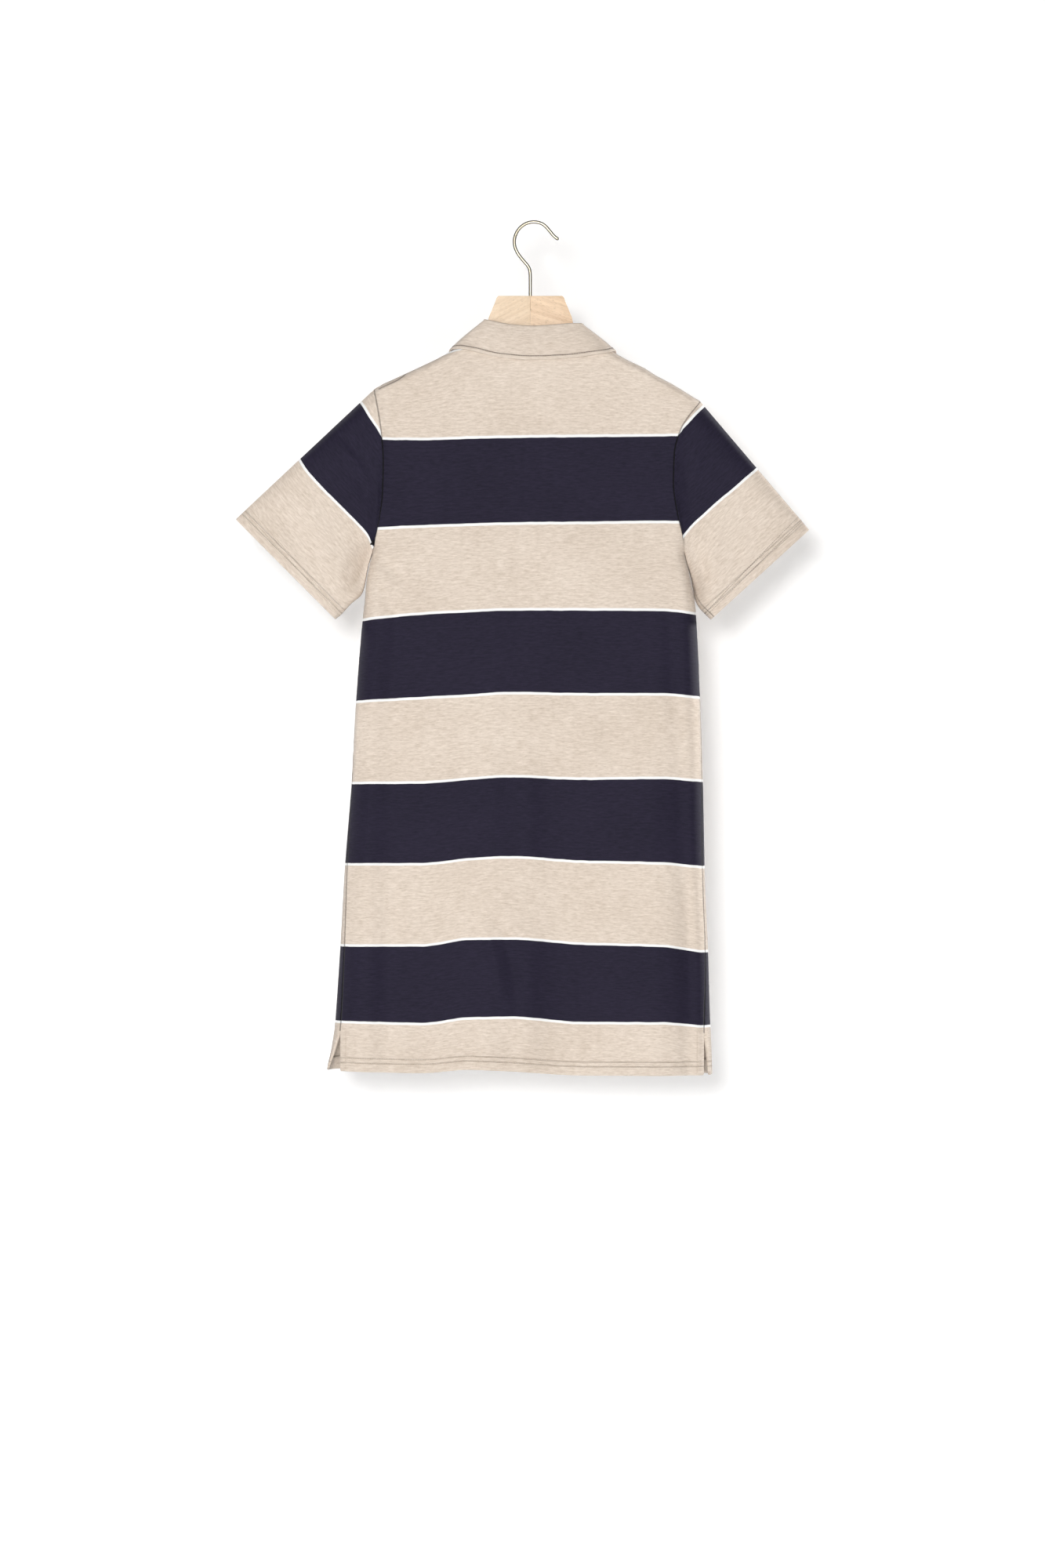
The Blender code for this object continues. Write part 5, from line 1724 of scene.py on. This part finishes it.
def make_studio_surface(name, colour, glow, backdrop):
    """Pale paint that a camera behind it looks through. A backdrop is there for the camera alone."""
    new, tree, shader = surface(name)
    grey = noise(tree, own_place(tree), 3.0, 0.6, 6.0)
    seen = tree.nodes.new("ShaderNodeLightPath").outputs["Is Camera Ray"]
    inputs = {
        "Base Color": blended(tree, grey, darkened(colour, 0.97), colour),
        "Roughness": 0.9,
        "Specular IOR Level": 0.0,
        "Emission Color": (1, 1, 1, 1),
        "Emission Strength": times(tree, seen, glow),
    }
    feed_all(tree, shader, inputs)
    sides = tree.nodes.new("ShaderNodeNewGeometry")
    clear = tree.nodes.new("ShaderNodeBsdfTransparent")
    mix = tree.nodes.new("ShaderNodeMixShader")
    from_behind = times(tree, seen, sides.outputs["Backfacing"])
    feed(tree, mix.inputs[0], minus(tree, seen if backdrop else 1.0, from_behind))
    tree.links.new(clear.outputs[0], mix.inputs[1])
    tree.links.new(shader.outputs[0], mix.inputs[2])
    tree.links.new(mix.outputs[0], tree.nodes["Material Output"].inputs["Surface"])
    return new


def make_plane(name, size, location, turn, material):
    bpy.ops.mesh.primitive_plane_add(size=1.0, location=location, rotation=turn)
    plane = bpy.context.active_object
    plane.name = name
    plane.scale = (size[0], size[1], 1.0)
    only(plane)
    bpy.ops.object.transform_apply(location=True, rotation=True, scale=True)
    plane.data.materials.append(material)
    return plane


FLOOR_BELOW = 1.72
floor_paint = make_studio_surface("floor paint", (0.9, 0.9, 0.9, 1), 0.8, False)
make_plane("studio_floor", (14.0, 14.0), (0, 0, -FLOOR_BELOW), (0, 0, 0), floor_paint)
wall_paint = make_studio_surface("wall paint", (0.95, 0.95, 0.95, 1), 0.2, True)
wall = make_plane("studio_wall", (2.4, 2.9), (0, 0.34, -0.25), (math.pi / 2, 0, 0), wall_paint)


def add_light(name, place, aim, size, power):
    lamp = bpy.data.lights.new(name, "AREA")
    lamp.shape, lamp.size, lamp.energy = "DISK", size, power
    new = linked(name, lamp)
    new.location = place
    new.rotation_euler = (Vector(aim) - Vector(place)).to_track_quat("-Z", "Y").to_euler()
    return new


MIDDLE = (-0.014, 0.0, -0.6)
add_light("key_light", (-0.42, -6.6, -0.25), MIDDLE, 0.68, 202)
side_lights = (
    add_light("left_light", (-3.59, -2.51, -0.25), MIDDLE, 1.1, 40),
    add_light("right_light", (3.59, -2.51, -0.25), MIDDLE, 1.1, 16),
    add_light("right_edge_light", (2.8, 1.3, 0.5), MIDDLE, 0.9, 95),
    add_light("left_edge_light", (-2.6, 1.4, 0.9), MIDDLE, 0.9, 34),
)
add_light("far_light", (0.5, 4.2, -0.1), MIDDLE, 2.2, 75)

# The side lights are kept off the wire, and off the wall, which shows the soft shadow of the key light alone.
kept_dark = bpy.data.collections.new("kept from side light")
for piece in (wall, hook):
    kept_dark.objects.link(piece)
for link in kept_dark.collection_objects:
    link.light_linking.link_state = "EXCLUDE"
for lamp in side_lights:
    lamp.light_linking.receiver_collection = kept_dark

# The studio is bright in front and behind and darker at the sides.
sky = bpy.data.worlds.new("studio white")
bpy.context.scene.world = sky
sky.use_nodes = True
tree = sky.node_tree
background = tree.nodes["Background"]
ahead = split_up(tree, put(tree, "ShaderNodeTexCoord", -1200, 0).outputs["Generated"])["Y"]
facing_share = maths(tree, "POWER", maths(tree, "ABSOLUTE", ahead), 3.0)
glow = spread(tree, facing_share, 0.0, 1.0, 0.22, 0.5)
rays = tree.nodes.new("ShaderNodeLightPath")
feed(tree, background.inputs["Strength"], spread(tree, rays.outputs["Is Camera Ray"], 0.0, 1.0, glow, 1.0))
background.inputs["Color"].default_value = (1, 1, 1, 1)

lens = bpy.data.cameras.new("camera")
CAMERA_AWAY, VIEW_HEIGHT = 6.0, 1.94  # metres
lens.sensor_width = 36.0
lens.lens = lens.sensor_width * CAMERA_AWAY / VIEW_HEIGHT
camera = linked("camera", lens)
camera.location = (-0.01407, -CAMERA_AWAY, -0.6935)
camera.rotation_euler = (math.pi / 2, 0.0, 0.0)
bpy.context.scene.camera = camera
bpy.context.scene.view_settings.view_transform = "Standard"
